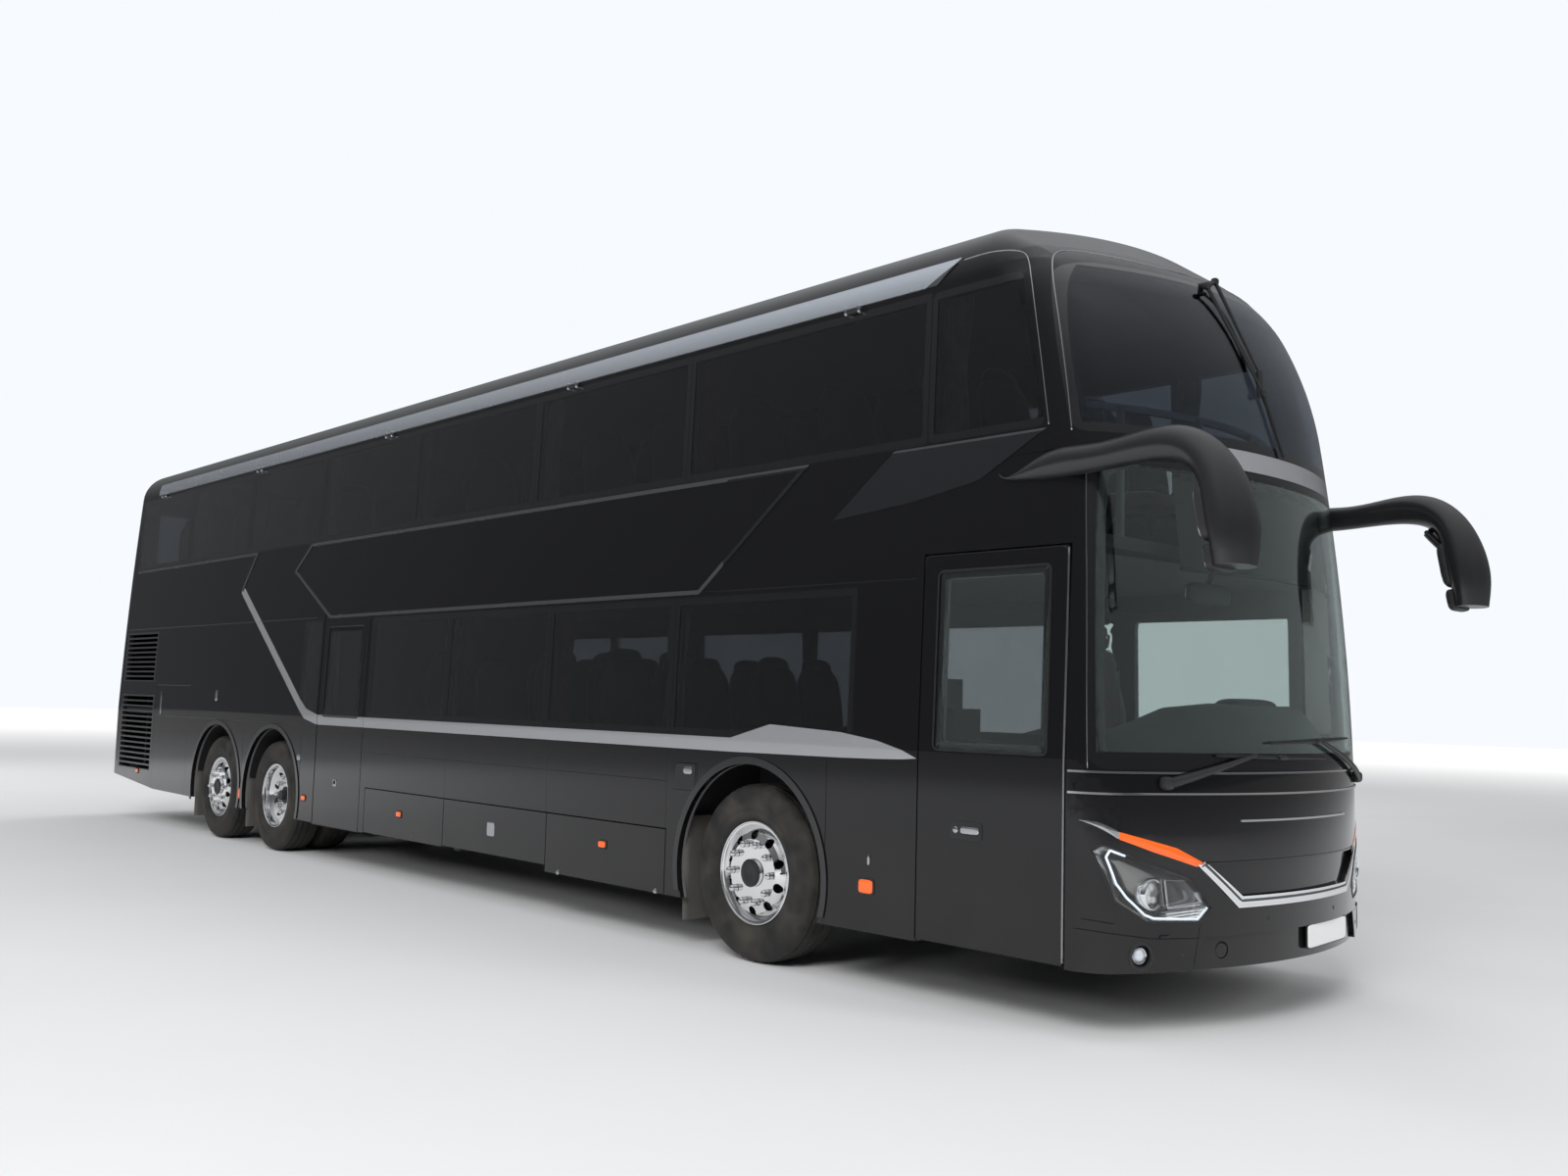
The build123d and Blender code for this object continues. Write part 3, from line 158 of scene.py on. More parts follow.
class Wire:
    """An output socket with the usual operators."""

    def __init__(self, tree, socket):
        self.tree, self.socket = tree, socket

    def do(self, operation, *operands):
        node = self.tree.nodes.new("ShaderNodeMath")
        node.operation = operation
        for socket, value in zip(node.inputs, operands):
            plug(self.tree, socket, value)
        return Wire(self.tree, node.outputs[0])

    def __add__(self, other):
        return self.do("ADD", self, other)

    __radd__ = __add__

    def __sub__(self, other):
        return self.do("SUBTRACT", self, other)

    def __rsub__(self, other):
        return self.do("SUBTRACT", other, self)

    def __mul__(self, other):
        return self.do("MULTIPLY", self, other)

    __rmul__ = __mul__

    def __truediv__(self, other):
        return self.do("DIVIDE", self, other)

    def __abs__(self):
        return self.do("ABSOLUTE", self)

    def __gt__(self, other):
        return self.do("GREATER_THAN", self, other)

    def __lt__(self, other):
        return self.do("LESS_THAN", self, other)

    def high(self, other):
        return self.do("MAXIMUM", self, other)

    def low(self, other):
        return self.do("MINIMUM", self, other)

    def root(self):
        return self.do("SQRT", self)

    def wave(self):
        return self.do("SINE", self)

    def fade(self, low, high):
        """0 below low, 1 above high, a straight ramp between."""
        return ((self - low) / (high - low)).high(0.0).low(1.0)


class Finish:
    """A material being made: its tree, its shader, and each point's place in the coach."""

    def __init__(self, name, **constants):
        self.material = bpy.data.materials.new(name)
        self.material.use_nodes = True
        self.tree = self.material.node_tree
        self.shader = self.tree.nodes["Principled BSDF"]
        for key, value in constants.items():
            socket = self.shader.inputs[key.replace("_", " ")]
            socket.default_value = (*value, 1.0) if isinstance(value, tuple) else value
        self.place = self.node("ShaderNodeTexCoord", out="Object")
        self.x, self.y, self.z = (self.node("ShaderNodeSeparateXYZ", inputs={0: self.place}, out=k)
                                  for k in range(3))

    def node(self, kind, settings=None, inputs=None, out=0):
        node = self.tree.nodes.new(kind)
        for key, value in (settings or {}).items():
            setattr(node, key, value)
        for key, value in (inputs or {}).items():
            plug(self.tree, node.inputs[key], value)
        return Wire(self.tree, node.outputs[out])

    def noise(self, scale, detail=2.0, roughness=0.5):
        inputs = {"Vector": self.place, "Scale": scale, "Detail": detail, "Roughness": roughness}
        return self.node("ShaderNodeTexNoise", inputs=inputs)

    def mix(self, factor, first, second):
        """Blend two colours, each a tuple or a wire."""
        node = self.tree.nodes.new("ShaderNodeMix")
        node.data_type = "RGBA"
        for key, value in (("Factor_Float", factor), ("A_Color", first), ("B_Color", second)):
            socket = next(s for s in node.inputs if s.identifier == key)
            plug(self.tree, socket, (*value, 1.0) if isinstance(value, tuple) else value)
        return Wire(self.tree, next(s for s in node.outputs if s.identifier == "Result_Color"))

    def set(self, **wires):
        for key, wire in wires.items():
            plug(self.tree, self.shader.inputs[key.replace("_", " ")], wire)
        return self

    def bump(self, height, distance, strength=1.0):
        """Feed a height to the shader's normal; distance is the height of a value of 1, in metres."""
        self.set(Normal=self.node("ShaderNodeBump",
                                  inputs={"Height": height, "Distance": distance, "Strength": strength}))
        return self


# %% [markdown]
# The body is black two-coat enamel, with a silver band that runs along the belt, climbs over the
# front axle and cuts up to the rear. Paint has no thickness to speak of, so the band is a mask worked
# out from places on the coach, and it crosses doors and glass unbroken as the real film does.
# Panel seams are grooves a few millimetres wide, worked into the same height map.

# %% Masks on the body
SILVER = (0.46, 0.468, 0.49)
BLACK = (0.006, 0.006, 0.007)
BAND = ((8.453, 1.185, 1.270), (2.860, 1.185, 1.266), (2.524, 1.188, 1.353), (1.964, 1.192, 1.327),
        (1.693, 1.197, 1.292), (1.513, 1.203, 1.249), (1.417, 1.211, 1.213))
SLASH = ((10.37, 2.445), (8.84, 1.36), (8.70, 1.275), (8.45, 1.2275))
SLASH_HALF = (0.042, 0.042, 0.046, 0.0425)


def off_line(a, b, start, end):
    """Distance of a place from a straight line between two ends, and the share of the line passed."""
    (a0, b0), (a1, b1) = start, end
    da, db = a1 - a0, b1 - b0
    t = (((a - a0) * da + (b - b0) * db) / (da * da + db * db)).high(0.0).low(1.0)
    off_a, off_b = a - (t * da + a0), b - (t * db + b0)
    return (off_a * off_a + off_b * off_b).root(), t


def segment(f, start, end, half_start, half_end):
    """1 within a tapering distance of a straight line in side view, 0 elsewhere."""
    distance, t = off_line(f.x, f.z, start, end)
    return distance < (t * (half_end - half_start) + half_start)


def silver_band(f):
    """The belt band and the slash behind the middle door, as one mask."""
    pieces = []
    for (b0, low0, top0), (b1, low1, top1) in zip(BAND, BAND[1:]):
        x0, x1 = along(b0), along(b1)
        t = (f.x - x0) / (x1 - x0)
        low, top = t * (low1 - low0) + low0, t * (top1 - top0) + top0
        pieces.append((f.x > x0) * (f.x < x1) * (f.z > low) * (f.z < top))
    for (start, end), halves in zip(zip(SLASH, SLASH[1:]), zip(SLASH_HALF, SLASH_HALF[1:])):
        pieces.append(segment(f, (along(start[0]), start[1]), (along(end[0]), end[1]), *halves))
    return reduce(Wire.high, pieces)


UPRIGHT_SEAMS = (            # behind the front face, foot, top
    (2.055, 0.30, 1.19), (7.550, 1.27, 2.13), (8.745, 0.33, 2.15), (10.065, 0.35, 1.17), (11.560, 0.36, 2.12),
    (12.580, 0.36, 2.12), (10.317, 1.17, 2.12), (2.055, 1.30, 2.13), (3.375, 0.94, 1.10), (3.150, 0.94, 1.10),
    (4.760, 0.70, 1.18), (6.150, 0.70, 1.18), (3.440, 0.70, 1.18),
)
LEVEL_SEAMS = (              # height, front end, rear end
    (2.128, 1.45, 3.20), (2.128, 8.60, 13.75), (1.168, 8.80, 12.58), (0.94, 3.150, 3.375), (1.10, 3.150, 3.375),
    (0.985, 3.44, 7.45), (1.50, 11.56, 12.58), (2.70, 0.52, 1.42),
)
SEAM_HALF = 0.004


def groove(distance, half):
    """1 in the middle of a groove, falling evenly to 0 at half its width."""
    return (1.0 - distance / half).high(0.0)


def seams(f):
    """Depth of the panel gaps, 1 in the middle of a gap and 0 on the panel."""
    upright = [groove(abs(f.x - along(behind)), SEAM_HALF) * (f.z > foot) * (f.z < top)
               for behind, foot, top in UPRIGHT_SEAMS]
    level = [groove(abs(f.z - height), SEAM_HALF) * (f.x < along(front)) * (f.x > along(rear))
             for height, front, rear in LEVEL_SEAMS]
    return reduce(Wire.high, upright + level)


# %% [markdown]
# Enamel shows three things up close: a faint orange-peel in the reflection, road film near the sill,
# and the lining on the inner side of the same panel. The lining is told apart by how far a point lies
# inside the outer skin.

# %% Body paint
LINING = (0.16, 0.16, 0.165)
ENAMEL = {"Coat_Weight": 1.0, "Coat_Roughness": 0.03, "Coat_IOR": 1.36, "Specular_IOR_Level": 0.10}
PEEL_SCALE, PEEL_HEIGHT = 260.0, 0.00004
SEAM_DEPTH = 0.003


def inside(f):
    """1 on the inner faces of the walls, which lie well within the outer skin."""
    skin = HALF_WIDTH - (f.z - BELT_Z).high(0.0) * LEAN
    return (abs(f.y) < (skin - 0.030)) * (f.x < along(0.62)) * (f.x > REAR + 0.50) * (f.z < 3.56)


FRONT_SEAMS = (              # (y, z) ends of the grooves in the front's skin, on either side
    ((0.766, 0.582), (0.772, 0.500)), ((0.772, 0.500), (0.807, 0.310)), ((0.772, 0.455), (1.020, 0.462)),
    ((1.020, 0.462), (1.270, 0.500)), ((0.000, 0.800), (0.775, 0.795)), ((1.262, 0.545), (1.180, 0.530)),
)
FRONT_SEAM_HALF = 0.0035


def front_seams(f):
    """Depth of the grooves across the mask and the bumper, by distance from short lines in front view."""
    return reduce(Wire.high, [groove(off_line(abs(f.y), f.z, *ends)[0], FRONT_SEAM_HALF)
                              for ends in FRONT_SEAMS])


def body_paint(name, banded=False, lined=False, grooves=None):
    """Enamel; it can carry the silver band, the pale lining of its inner side, and grooves from a mask."""
    f = Finish(name, **ENAMEL)
    film = (1.0 - f.z.fade(0.25, 0.95)) * f.noise(2.2, 4.0).fade(0.25, 0.8)
    colour = f.mix(film * 0.07, BLACK, (0.20, 0.18, 0.15))
    rough = f.noise(0.9, 2.0) * 0.05 + film * 0.22 + 0.10
    height = f.noise(PEEL_SCALE, 1.0) * PEEL_HEIGHT
    metal, coat = 0.0, 1.0
    if banded:
        band = silver_band(f)
        colour = f.mix(band, colour, SILVER)
        metal = band * 0.55
    if grooves:
        gap = grooves(f)
        colour = f.mix(gap * 0.8, colour, (0.001, 0.001, 0.001))
        coat = 1.0 - gap * 0.95
        height = height - gap * SEAM_DEPTH
    if lined:
        lining = inside(f)
        colour = f.mix(lining, colour, LINING)
        rough = rough + lining * 0.5
        coat = coat * (1.0 - lining * 0.9)
    f.set(Base_Color=colour, Roughness=rough, Metallic=metal, Coat_Weight=coat)
    return f.bump(height, 1.0).material


FRONT_BAND_Z = (2.672, 2.774)
FRONT_BAND_END = 0.340       # behind the front face, where the mirror arms stand


def front_paint():
    """Black front surround with the silver band that parts the two windscreens."""
    f = Finish("front_surround", **ENAMEL)
    band = (f.z > FRONT_BAND_Z[0]) * (f.z < FRONT_BAND_Z[1]) * (f.x > along(FRONT_BAND_END))
    f.set(Base_Color=f.mix(band, BLACK, SILVER), Metallic=band * 0.55,
          Roughness=f.noise(1.3, 2.0) * 0.05 + 0.09)
    return f.bump(f.noise(PEEL_SCALE, 1.0) * PEEL_HEIGHT, 1.0).material


# %% [markdown]
# Coach glass comes in two tints: privacy glass along the sides, near black from outside, and a light
# green tint for the windscreens and the front door. Each pane has a black printed border, which hides
# the glue, so the border is a darker, opaque margin of the same pane.

# %% Glass
def glass(name, tint, ink=None, banded=False, other=None):
    """A pane; other is a second tint and the mask of where it is."""
    f = Finish(name, Roughness=0.02, IOR=1.5, Transmission_Weight=1.0, Base_Color=tint)
    if other:
        f.set(Base_Color=f.mix(other[1](f), tint, other[0]))
    masks = []
    if ink:
        masks.append((ink(f), BLACK, 0.12, 0.0))
    if banded:
        masks.append((silver_band(f), SILVER, 0.15, 0.55))
    out = f.tree.nodes["Material Output"]
    current = Wire(f.tree, f.shader.outputs[0])
    for mask, colour, rough, metal in masks:
        solid = f.tree.nodes.new("ShaderNodeBsdfPrincipled")
        solid.inputs["Base Color"].default_value = (*colour, 1.0)
        solid.inputs["Roughness"].default_value = rough
        solid.inputs["Metallic"].default_value = metal
        solid.inputs["Coat Weight"].default_value = 1.0
        blend = f.tree.nodes.new("ShaderNodeMixShader")
        plug(f.tree, blend.inputs[0], mask)
        f.tree.links.new(current.socket, blend.inputs[1])
        f.tree.links.new(solid.outputs[0], blend.inputs[2])
        current = Wire(f.tree, blend.outputs[0])
    f.tree.links.new(current.socket, out.inputs[0])
    return f.material


LOWER_GLASS_Z = (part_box("glass_right")[0].z, 2.100)
UPPER_GLASS_Z = (2.822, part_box("glass_right")[1].z)
PANE_ENDS_LOWER = (1.872, 3.431, 4.823, 6.218, 7.500, 8.478, 8.850)
PANE_ENDS_UPPER = (1.420, 3.410, 5.150, 6.950, 8.700, 10.350, 12.000, 13.600)


def side_ink(f):
    """The printed border of the side panes: a margin at the sills and either side of each joint."""
    upper = f.z > 2.5
    low = upper * (UPPER_GLASS_Z[0] - LOWER_GLASS_Z[0]) + LOWER_GLASS_Z[0]
    high = upper * (UPPER_GLASS_Z[1] - LOWER_GLASS_Z[1]) + LOWER_GLASS_Z[1]
    edge = ((f.z - low).low(high - f.z)) < 0.045
    for ends, deck in ((PANE_ENDS_UPPER, upper), (PANE_ENDS_LOWER, 1.0 - upper)):
        for behind in ends:
            edge = edge.high((abs(f.x - along(behind)) < 0.040) * deck)
    return edge


LOWER_SCREEN_Z = (1.212, 2.664)
UPPER_SCREEN_Z = (2.780, 3.694)


def screen_ink(f):
    """The printed border of the windscreens: deepest at the lower one's foot, wider up the sides."""
    lower = f.z < 2.70
    low = lower * (LOWER_SCREEN_Z[0] - UPPER_SCREEN_Z[0]) + UPPER_SCREEN_Z[0]
    high = lower * (LOWER_SCREEN_Z[1] - UPPER_SCREEN_Z[1]) + UPPER_SCREEN_Z[1]
    lean = (f.z - 1.212) * 0.042
    side = f.x < (FRONT - 0.368 - lean - (f.z > 2.70) * 0.055 - (f.z - 2.78).high(0.0) * 0.16)
    return ((f.z - low) < (lower * 0.035 + 0.045)).high((high - f.z) < 0.030).high(side)


def upper_deck(f):
    return f.z > 2.70


def driver_window(f):
    """The driver's own window, on the left, is clear."""
    return (f.y > 0.0) * (f.z < 2.50) * (f.x > along(2.05))


# %% [markdown]
# The remaining finishes: rubber, polished and cast metal, satin trim, plastics and cloth. Each gets
# the variation that its real surface shows at its own scale.

# %% Other finishes
def lamp_cover():
    """Clear moulding: mostly let through as it is, so that lamps outside light what lies behind it."""
    return Finish("lamp_cover", Roughness=0.02, IOR=1.5, Transmission_Weight=1.0, Alpha=0.35,
                  Base_Color=(0.97, 0.98, 0.99)).material


def simple(name, colour, rough, metal=0.0, coat=0.0, grain=0.0, scale=60.0, mottle=0.15):
    """A finish with a slight mottle in its colour and gloss, and an optional grain."""
    f = Finish(name, Metallic=metal, Coat_Weight=coat, Coat_Roughness=0.05)
    cloud = f.noise(scale / 12.0, 3.0)
    darker = tuple(c * (1.0 - mottle) for c in colour)
    f.set(Base_Color=f.mix(cloud, darker, colour), Roughness=cloud * rough * 0.35 + rough * 0.82)
    if grain:
        f.bump(f.noise(scale, 3.0), grain)
    return f.material


def rubber():
    """Tyre rubber: charcoal with dust in the hollows of the wall and a browned tread."""
    f = Finish("tyre_rubber", Specular_IOR_Level=0.35)
    dust = f.noise(7.0, 5.0).fade(0.35, 0.75)
    f.set(Base_Color=f.mix(dust * 0.55, (0.018, 0.018, 0.018), (0.085, 0.075, 0.062)),
          Roughness=dust * 0.2 + 0.62)
    return f.bump(f.noise(420.0, 2.0), 0.0003).material


def polished_alloy():
    """Forged wheel metal: bright, with fine turning rings and a little brake film."""
    f = Finish("polished_alloy", Metallic=1.0)
    film = f.noise(9.0, 4.0)
    f.set(Base_Color=f.mix(film * 0.5, (0.93, 0.93, 0.94), (0.70, 0.69, 0.67)), Roughness=film * 0.10 + 0.07)
    return f.bump(f.noise(90.0, 2.0), 0.00003).material


def trim_paint():
    """Side trim by place: silver rail under the roof, anthracite beads, black fin and wheel arch lips."""
    f = Finish("trim_paint", Coat_Weight=0.6, Coat_Roughness=0.12)
    rail = (f.z > 3.655) * (f.x < (f.z - 3.781) * 1.912 + along(1.236))
    arch = f.z < 1.2
    fin = (f.z > 2.14) * (f.z < 2.80) * (f.x > along(3.0))
    colour = f.mix(rail, (0.045, 0.047, 0.052), (0.66, 0.70, 0.76))
    colour = f.mix(fin, colour, (0.010, 0.011, 0.013))
    colour = f.mix(arch, colour, (0.008, 0.008, 0.009))
    f.set(Base_Color=colour, Metallic=rail * 0.75 + 0.1, Roughness=f.noise(3.0, 2.0) * 0.08 + 0.22)
    return f.material


def carpet():
    """Needle-felt floor covering, dark grey with a fleck."""
    f = Finish("floor_covering")
    fleck = f.noise(110.0, 3.0).fade(0.35, 0.65)
    f.set(Base_Color=f.mix(fleck, (0.055, 0.055, 0.06), (0.080, 0.080, 0.088)), Roughness=0.9)
    return f.bump(fleck, 0.0004).material


def weave(name, colour, second, size=0.006):
    """Cloth: a plain weave of two tones, as the product of two sine waves."""
    f = Finish(name, Roughness=0.85, Sheen_Weight=0.3)
    turns = 2 * pi / size
    pattern = ((f.x + f.z) * turns).wave() * (f.y * turns).wave() * 0.5 + 0.5
    patch = f.noise(14.0, 2.0).fade(0.45, 0.6)
    f.set(Base_Color=f.mix(patch * 0.6, f.mix(pattern, colour, tuple(c * 0.7 for c in colour)), second))
    return f.bump(pattern, 0.0006).material


def lens(name, colour, emission=0.0):
    """Moulded lamp plastic with fine prisms behind its face."""
    f = Finish(name, Base_Color=colour, IOR=1.49, Coat_Weight=1.0, Roughness=0.10)
    prisms = (f.z * (2 * pi / 0.008)).wave() * (f.y * (2 * pi / 0.008)).wave()
    if emission:
        f.shader.inputs["Emission Color"].default_value = (*colour, 1.0)
        f.shader.inputs["Emission Strength"].default_value = emission
    return f.bump(prisms, 0.0006).material


M = {
    "paint": body_paint("black_enamel", banded=True, lined=True, grooves=seams),
    "roof": body_paint("roof_enamel"),
    "plain": body_paint("plain_enamel"),
    "front": front_paint(),
    "nose": body_paint("nose_enamel", grooves=front_seams),
    "side_glass": glass("privacy_glass", (0.16, 0.17, 0.18), side_ink, banded=True,
                        other=((0.62, 0.68, 0.66), driver_window)),
    "screen": glass("windscreen_glass", (0.58, 0.65, 0.63), screen_ink,
                    other=((0.17, 0.20, 0.24), upper_deck)),
    "clear": glass("door_glass", (0.72, 0.78, 0.76)),
    "rear_glass": glass("rear_glass", (0.14, 0.15, 0.16)),
    "cover": lamp_cover(),
    "chrome": simple("chrome", (0.86, 0.87, 0.88), 0.05, metal=1.0, mottle=0.05),
    "bright": simple("satin_chrome", (0.55, 0.56, 0.58), 0.22, metal=1.0, mottle=0.08),
    "alloy": polished_alloy(),
    "rubber": rubber(),
    "seal": simple("door_rubber", (0.012, 0.012, 0.012), 0.55, grain=0.0002, scale=300),
    "trim": trim_paint(),
    "mirror_shell": simple("mirror_shell", (0.014, 0.014, 0.015), 0.32, coat=0.35, grain=0.00012, scale=900),
    "mirror_glass": simple("mirror_glass", (0.80, 0.82, 0.84), 0.02, metal=1.0, mottle=0.0),
    "plastic": simple("moulded_plastic", (0.020, 0.020, 0.021), 0.48, grain=0.0003, scale=500),
    "cab": simple("cab_plastic", (0.055, 0.056, 0.060), 0.55, grain=0.0004, scale=420),
    "cowl": simple("dash_cowl", (0.13, 0.135, 0.135), 0.6, grain=0.0004, scale=420),
    # Pillar lining: a pale tone of its own, made lighter still as painted sunlight falling on it through the screen.
    "pale_lining_painted_sunlight": simple("pale_lining_painted_sunlight", (0.62, 0.64, 0.60), 0.7, grain=0.0003, scale=260),
    "steel": simple("painted_steel", (0.035, 0.035, 0.036), 0.55, grain=0.0004, scale=140, mottle=0.35),
    "cast": simple("cast_iron", (0.06, 0.055, 0.05), 0.7, metal=0.4, grain=0.0008, scale=120, mottle=0.4),
    "tube": simple("brushed_tube", (0.42, 0.42, 0.43), 0.30, metal=1.0),
    "housing": simple("lamp_housing", (0.23, 0.23, 0.22), 0.30, metal=0.35, coat=0.6),
    # Reflector: chrome in the real lamp; its mirror image of sky and light is painted as a pale blue-white colour with
    # little metal, a painted reflection.
    "reflector": simple("reflector_painted_reflection", (0.72, 0.77, 0.84), 0.16, metal=0.15, coat=0.8, mottle=0.20),
    "rail": simple("front_rail_satin", (0.50, 0.51, 0.53), 0.35, metal=0.25),
    "guide": lens("light_guide", (0.80, 0.88, 0.95), 0.55),
    "blind": simple("blind_cloth", (0.035, 0.035, 0.036), 0.8, grain=0.0003, scale=600),
    "carpet": carpet(),
    "seat": weave("seat_cloth", (0.045, 0.050, 0.085), (0.16, 0.03, 0.03)),
    "curtain_grey": weave("curtain_grey", (0.42, 0.41, 0.38), (0.50, 0.48, 0.44), 0.004),
    "curtain_red": weave("curtain_red", (0.30, 0.03, 0.03), (0.36, 0.05, 0.04), 0.004),
    "amber": lens("amber_lens", (0.95, 0.13, 0.003), 0.10),
    "red": lens("red_lens", (0.34, 0.005, 0.005), 0.03),
    "white_lens": lens("white_lens", (0.85, 0.86, 0.88)),
    "plate": simple("blank_plate", (0.85, 0.85, 0.84), 0.35, coat=0.5, mottle=0.02),
    "grille": simple("dark_slats", (0.03, 0.03, 0.032), 0.35, coat=0.3),
    "display": simple("display_glass", (0.01, 0.012, 0.015), 0.08, coat=1.0),
    "lining": simple("ceiling_lining", (0.16, 0.16, 0.16), 0.8, grain=0.0005, scale=200, mottle=0.05),
    "flap_rubber": simple("mudflap_rubber", (0.12, 0.115, 0.105), 0.8, grain=0.001, scale=60, mottle=0.3),
}
print("finishes:", len(M))

# %% [markdown]
# Every node of the frame gets its finish by name. The table lists what differs, and what is left over
# takes the body's enamel.

# %% Finish the frame's nodes
BY_NODE = {
    "roof": "roof", "front_mask": "nose", "front_bumper": "nose", "front_frame": "front", "rear_wall": "plain",
    "engine_lid": "plain", "windscreens": "screen", "glass_right": "side_glass", "glass_left": "side_glass",
    "glass_rear": "rear_glass", "front_door_glass": "clear", "middle_door_glass": "side_glass",
    "side_trim": "trim", "front_trim": "chrome", "tail_lamps": "red", "side_grilles": "grille",
    "mirrors": "mirror_shell", "wipers": "plastic", "dashboard": "cab", "steering_wheel": "cab",
    "seats_lower": "seat", "seats_upper": "seat", "staircases": "carpet", "front_rail": "rail",
    "engine": "cast",
    "lower_floor": "carpet", "upper_floor": "carpet", "chassis_frame": "steel", "axle_beams": "steel",
    "front_lamps": "cover", "front_door_arms": "tube", "middle_door_arms": "tube",
}
BY_START = {"rim": "alloy", "tyre": "rubber", "knuckle": "cast"}
for node_name, node in NODES.items():
    key = BY_NODE.get(node_name) or BY_START.get(node_name.split("_")[0], "paint")
    node.data.materials.clear()
    node.data.materials.append(M[key])

# %% [markdown]
# All new pieces are surfaces on a grid of two parameters, worked out as whole arrays. make() turns
# such a grid into a mesh and can close it round either way, so that one helper serves tubes, lathe
# work, cushions and sheets.


def make(name, grids, finish, body="body"):
    """One object from a list of (points[u, v, 3], closed in u, closed in v) grids.

    It rides on the named body, the coach's own by default, and takes its finish as its one slot.
    """
    verts, faces, offset = [], [], 0
    for points, round_u, round_v in grids:
        nu, nv = points.shape[:2]
        ids = np.arange(nu * nv).reshape(nu, nv) + offset
        a = np.concatenate([ids, ids[:1]]) if round_u else ids
        a = np.concatenate([a, a[:, :1]], axis=1) if round_v else a
        quads = np.stack([a[:-1, :-1], a[1:, :-1], a[1:, 1:], a[:-1, 1:]], axis=-1).reshape(-1, 4)
        faces.append(quads)
        verts.append(points.reshape(-1, 3))
        offset += nu * nv
    mesh = bpy.data.meshes.new(name)
    mesh.from_pydata(np.concatenate(verts).tolist(), [], np.concatenate(faces).tolist())
    mesh.polygons.foreach_set("use_smooth", np.ones(len(mesh.polygons), bool))
    mesh.materials.append(M[finish])
    piece = bpy.data.objects.new(name, mesh)
    bpy.context.scene.collection.objects.link(piece)
    tidy(mesh)
    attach(piece, body)
    return piece


def sheet(x, y, z, round_u=False, round_v=False):
    """Grid from three coordinates, each of which may vary with one parameter or with both."""
    return np.stack(np.broadcast_arrays(x, y, z), axis=-1), round_u, round_v


def tidy(mesh):
    """Merge doubled points and turn every face outwards."""
    work = bmesh.new()
    work.from_mesh(mesh)
    bmesh.ops.remove_doubles(work, verts=work.verts, dist=1e-6)
    bmesh.ops.dissolve_degenerate(work, edges=work.edges, dist=1e-7)
    bmesh.ops.recalc_face_normals(work, faces=work.faces)
    work.to_mesh(mesh)
    work.free()


def lathe(profile, centre, axis="y", turns=64, side=1):
    """Grid of an outline of (radius, along the axis) carried round; its ends close at radius 0."""
    profile = np.asarray(profile, float)
    angle = np.linspace(0, 2 * pi, turns, endpoint=False)[:, None]
    r, h = profile[None, :, 0], profile[None, :, 1] * side
    c, s, h = r * np.cos(angle), r * np.sin(angle), h + 0 * angle
    order = {"y": (c, h, s), "x": (h, c, s), "z": (c, s, h)}[axis]
    return np.stack(order, axis=-1) + np.asarray(centre, float), True, False


def tube(path, radius, sides=10, closed=False):
    """Grid of a round section carried along a path; its ends are drawn shut.

    The rings stand square to the path. Their first direction is the one in which the whole path is
    flattest, so that they never twist on a flat loop.
    """
    path = np.asarray(path, float)
    ahead = np.roll(path, -1, axis=0) - np.roll(path, 1, axis=0) if closed else np.gradient(path, axis=0)
    ahead /= np.linalg.norm(ahead, axis=1, keepdims=True)
    flat = np.linalg.svd(path - path.mean(axis=0))[2][2]
    side = flat - (ahead @ flat)[:, None] * ahead
    side /= np.linalg.norm(side, axis=1, keepdims=True)
    lift = np.cross(side, ahead)
    angle = np.linspace(0, 2 * pi, sides, endpoint=False)
    radius = np.broadcast_to(np.asarray(radius, float), len(path))[:, None, None]
    ring = side[:, None] * np.cos(angle)[:, None] + lift[:, None] * np.sin(angle)[:, None]
    points = path[:, None] + ring * radius
    if not closed:
        points = np.concatenate([path[:1, None] + 0 * points[:1], points, path[-1:, None] + 0 * points[-1:]])
    return points, closed, True


def pillow(centre, size, power=4.0, nu=20, nv=28, turn=None):
    """Grid of a superellipsoid: each half axis scaled by a signed power of sine and cosine.

    A power of 2 is an ellipsoid, and a large one nears a box with rounded edges.
    """
    e = 2.0 / power
    u = np.linspace(-pi / 2, pi / 2, nu)[:, None]
    v = np.linspace(-pi, pi, nv, endpoint=False)[None]
    bend = lambda w: np.sign(w) * np.where(np.abs(w) < 1e-9, 0.0, np.abs(w)) ** e
    points = np.stack([bend(np.cos(u)) * bend(np.cos(v)), bend(np.cos(u)) * bend(np.sin(v)),
                       bend(np.sin(u)) + 0 * v], axis=-1) * np.asarray(size, float) / 2
    if turn is not None:
        points = points @ np.array(turn.to_3x3()).T
    return points + np.asarray(centre, float), False, True


def spans(points, count):
    """Evenly spaced places along a broken line."""
    points = np.asarray(points, float)
    step = np.linalg.norm(np.diff(points, axis=0), axis=1)
    reach = np.concatenate([[0], np.cumsum(step)])
    at = np.linspace(0, reach[-1], count)
    return np.stack([np.interp(at, reach, points[:, k]) for k in range(points.shape[1])], axis=-1)


def on_front(yz, proud):
    """Places on the front skin from (y, z) pairs, a little proud of it."""
    yz = np.asarray(yz, float)
    return np.stack([front_x(yz[..., 0], yz[..., 1], proud), yz[..., 0], yz[..., 1]], axis=-1)


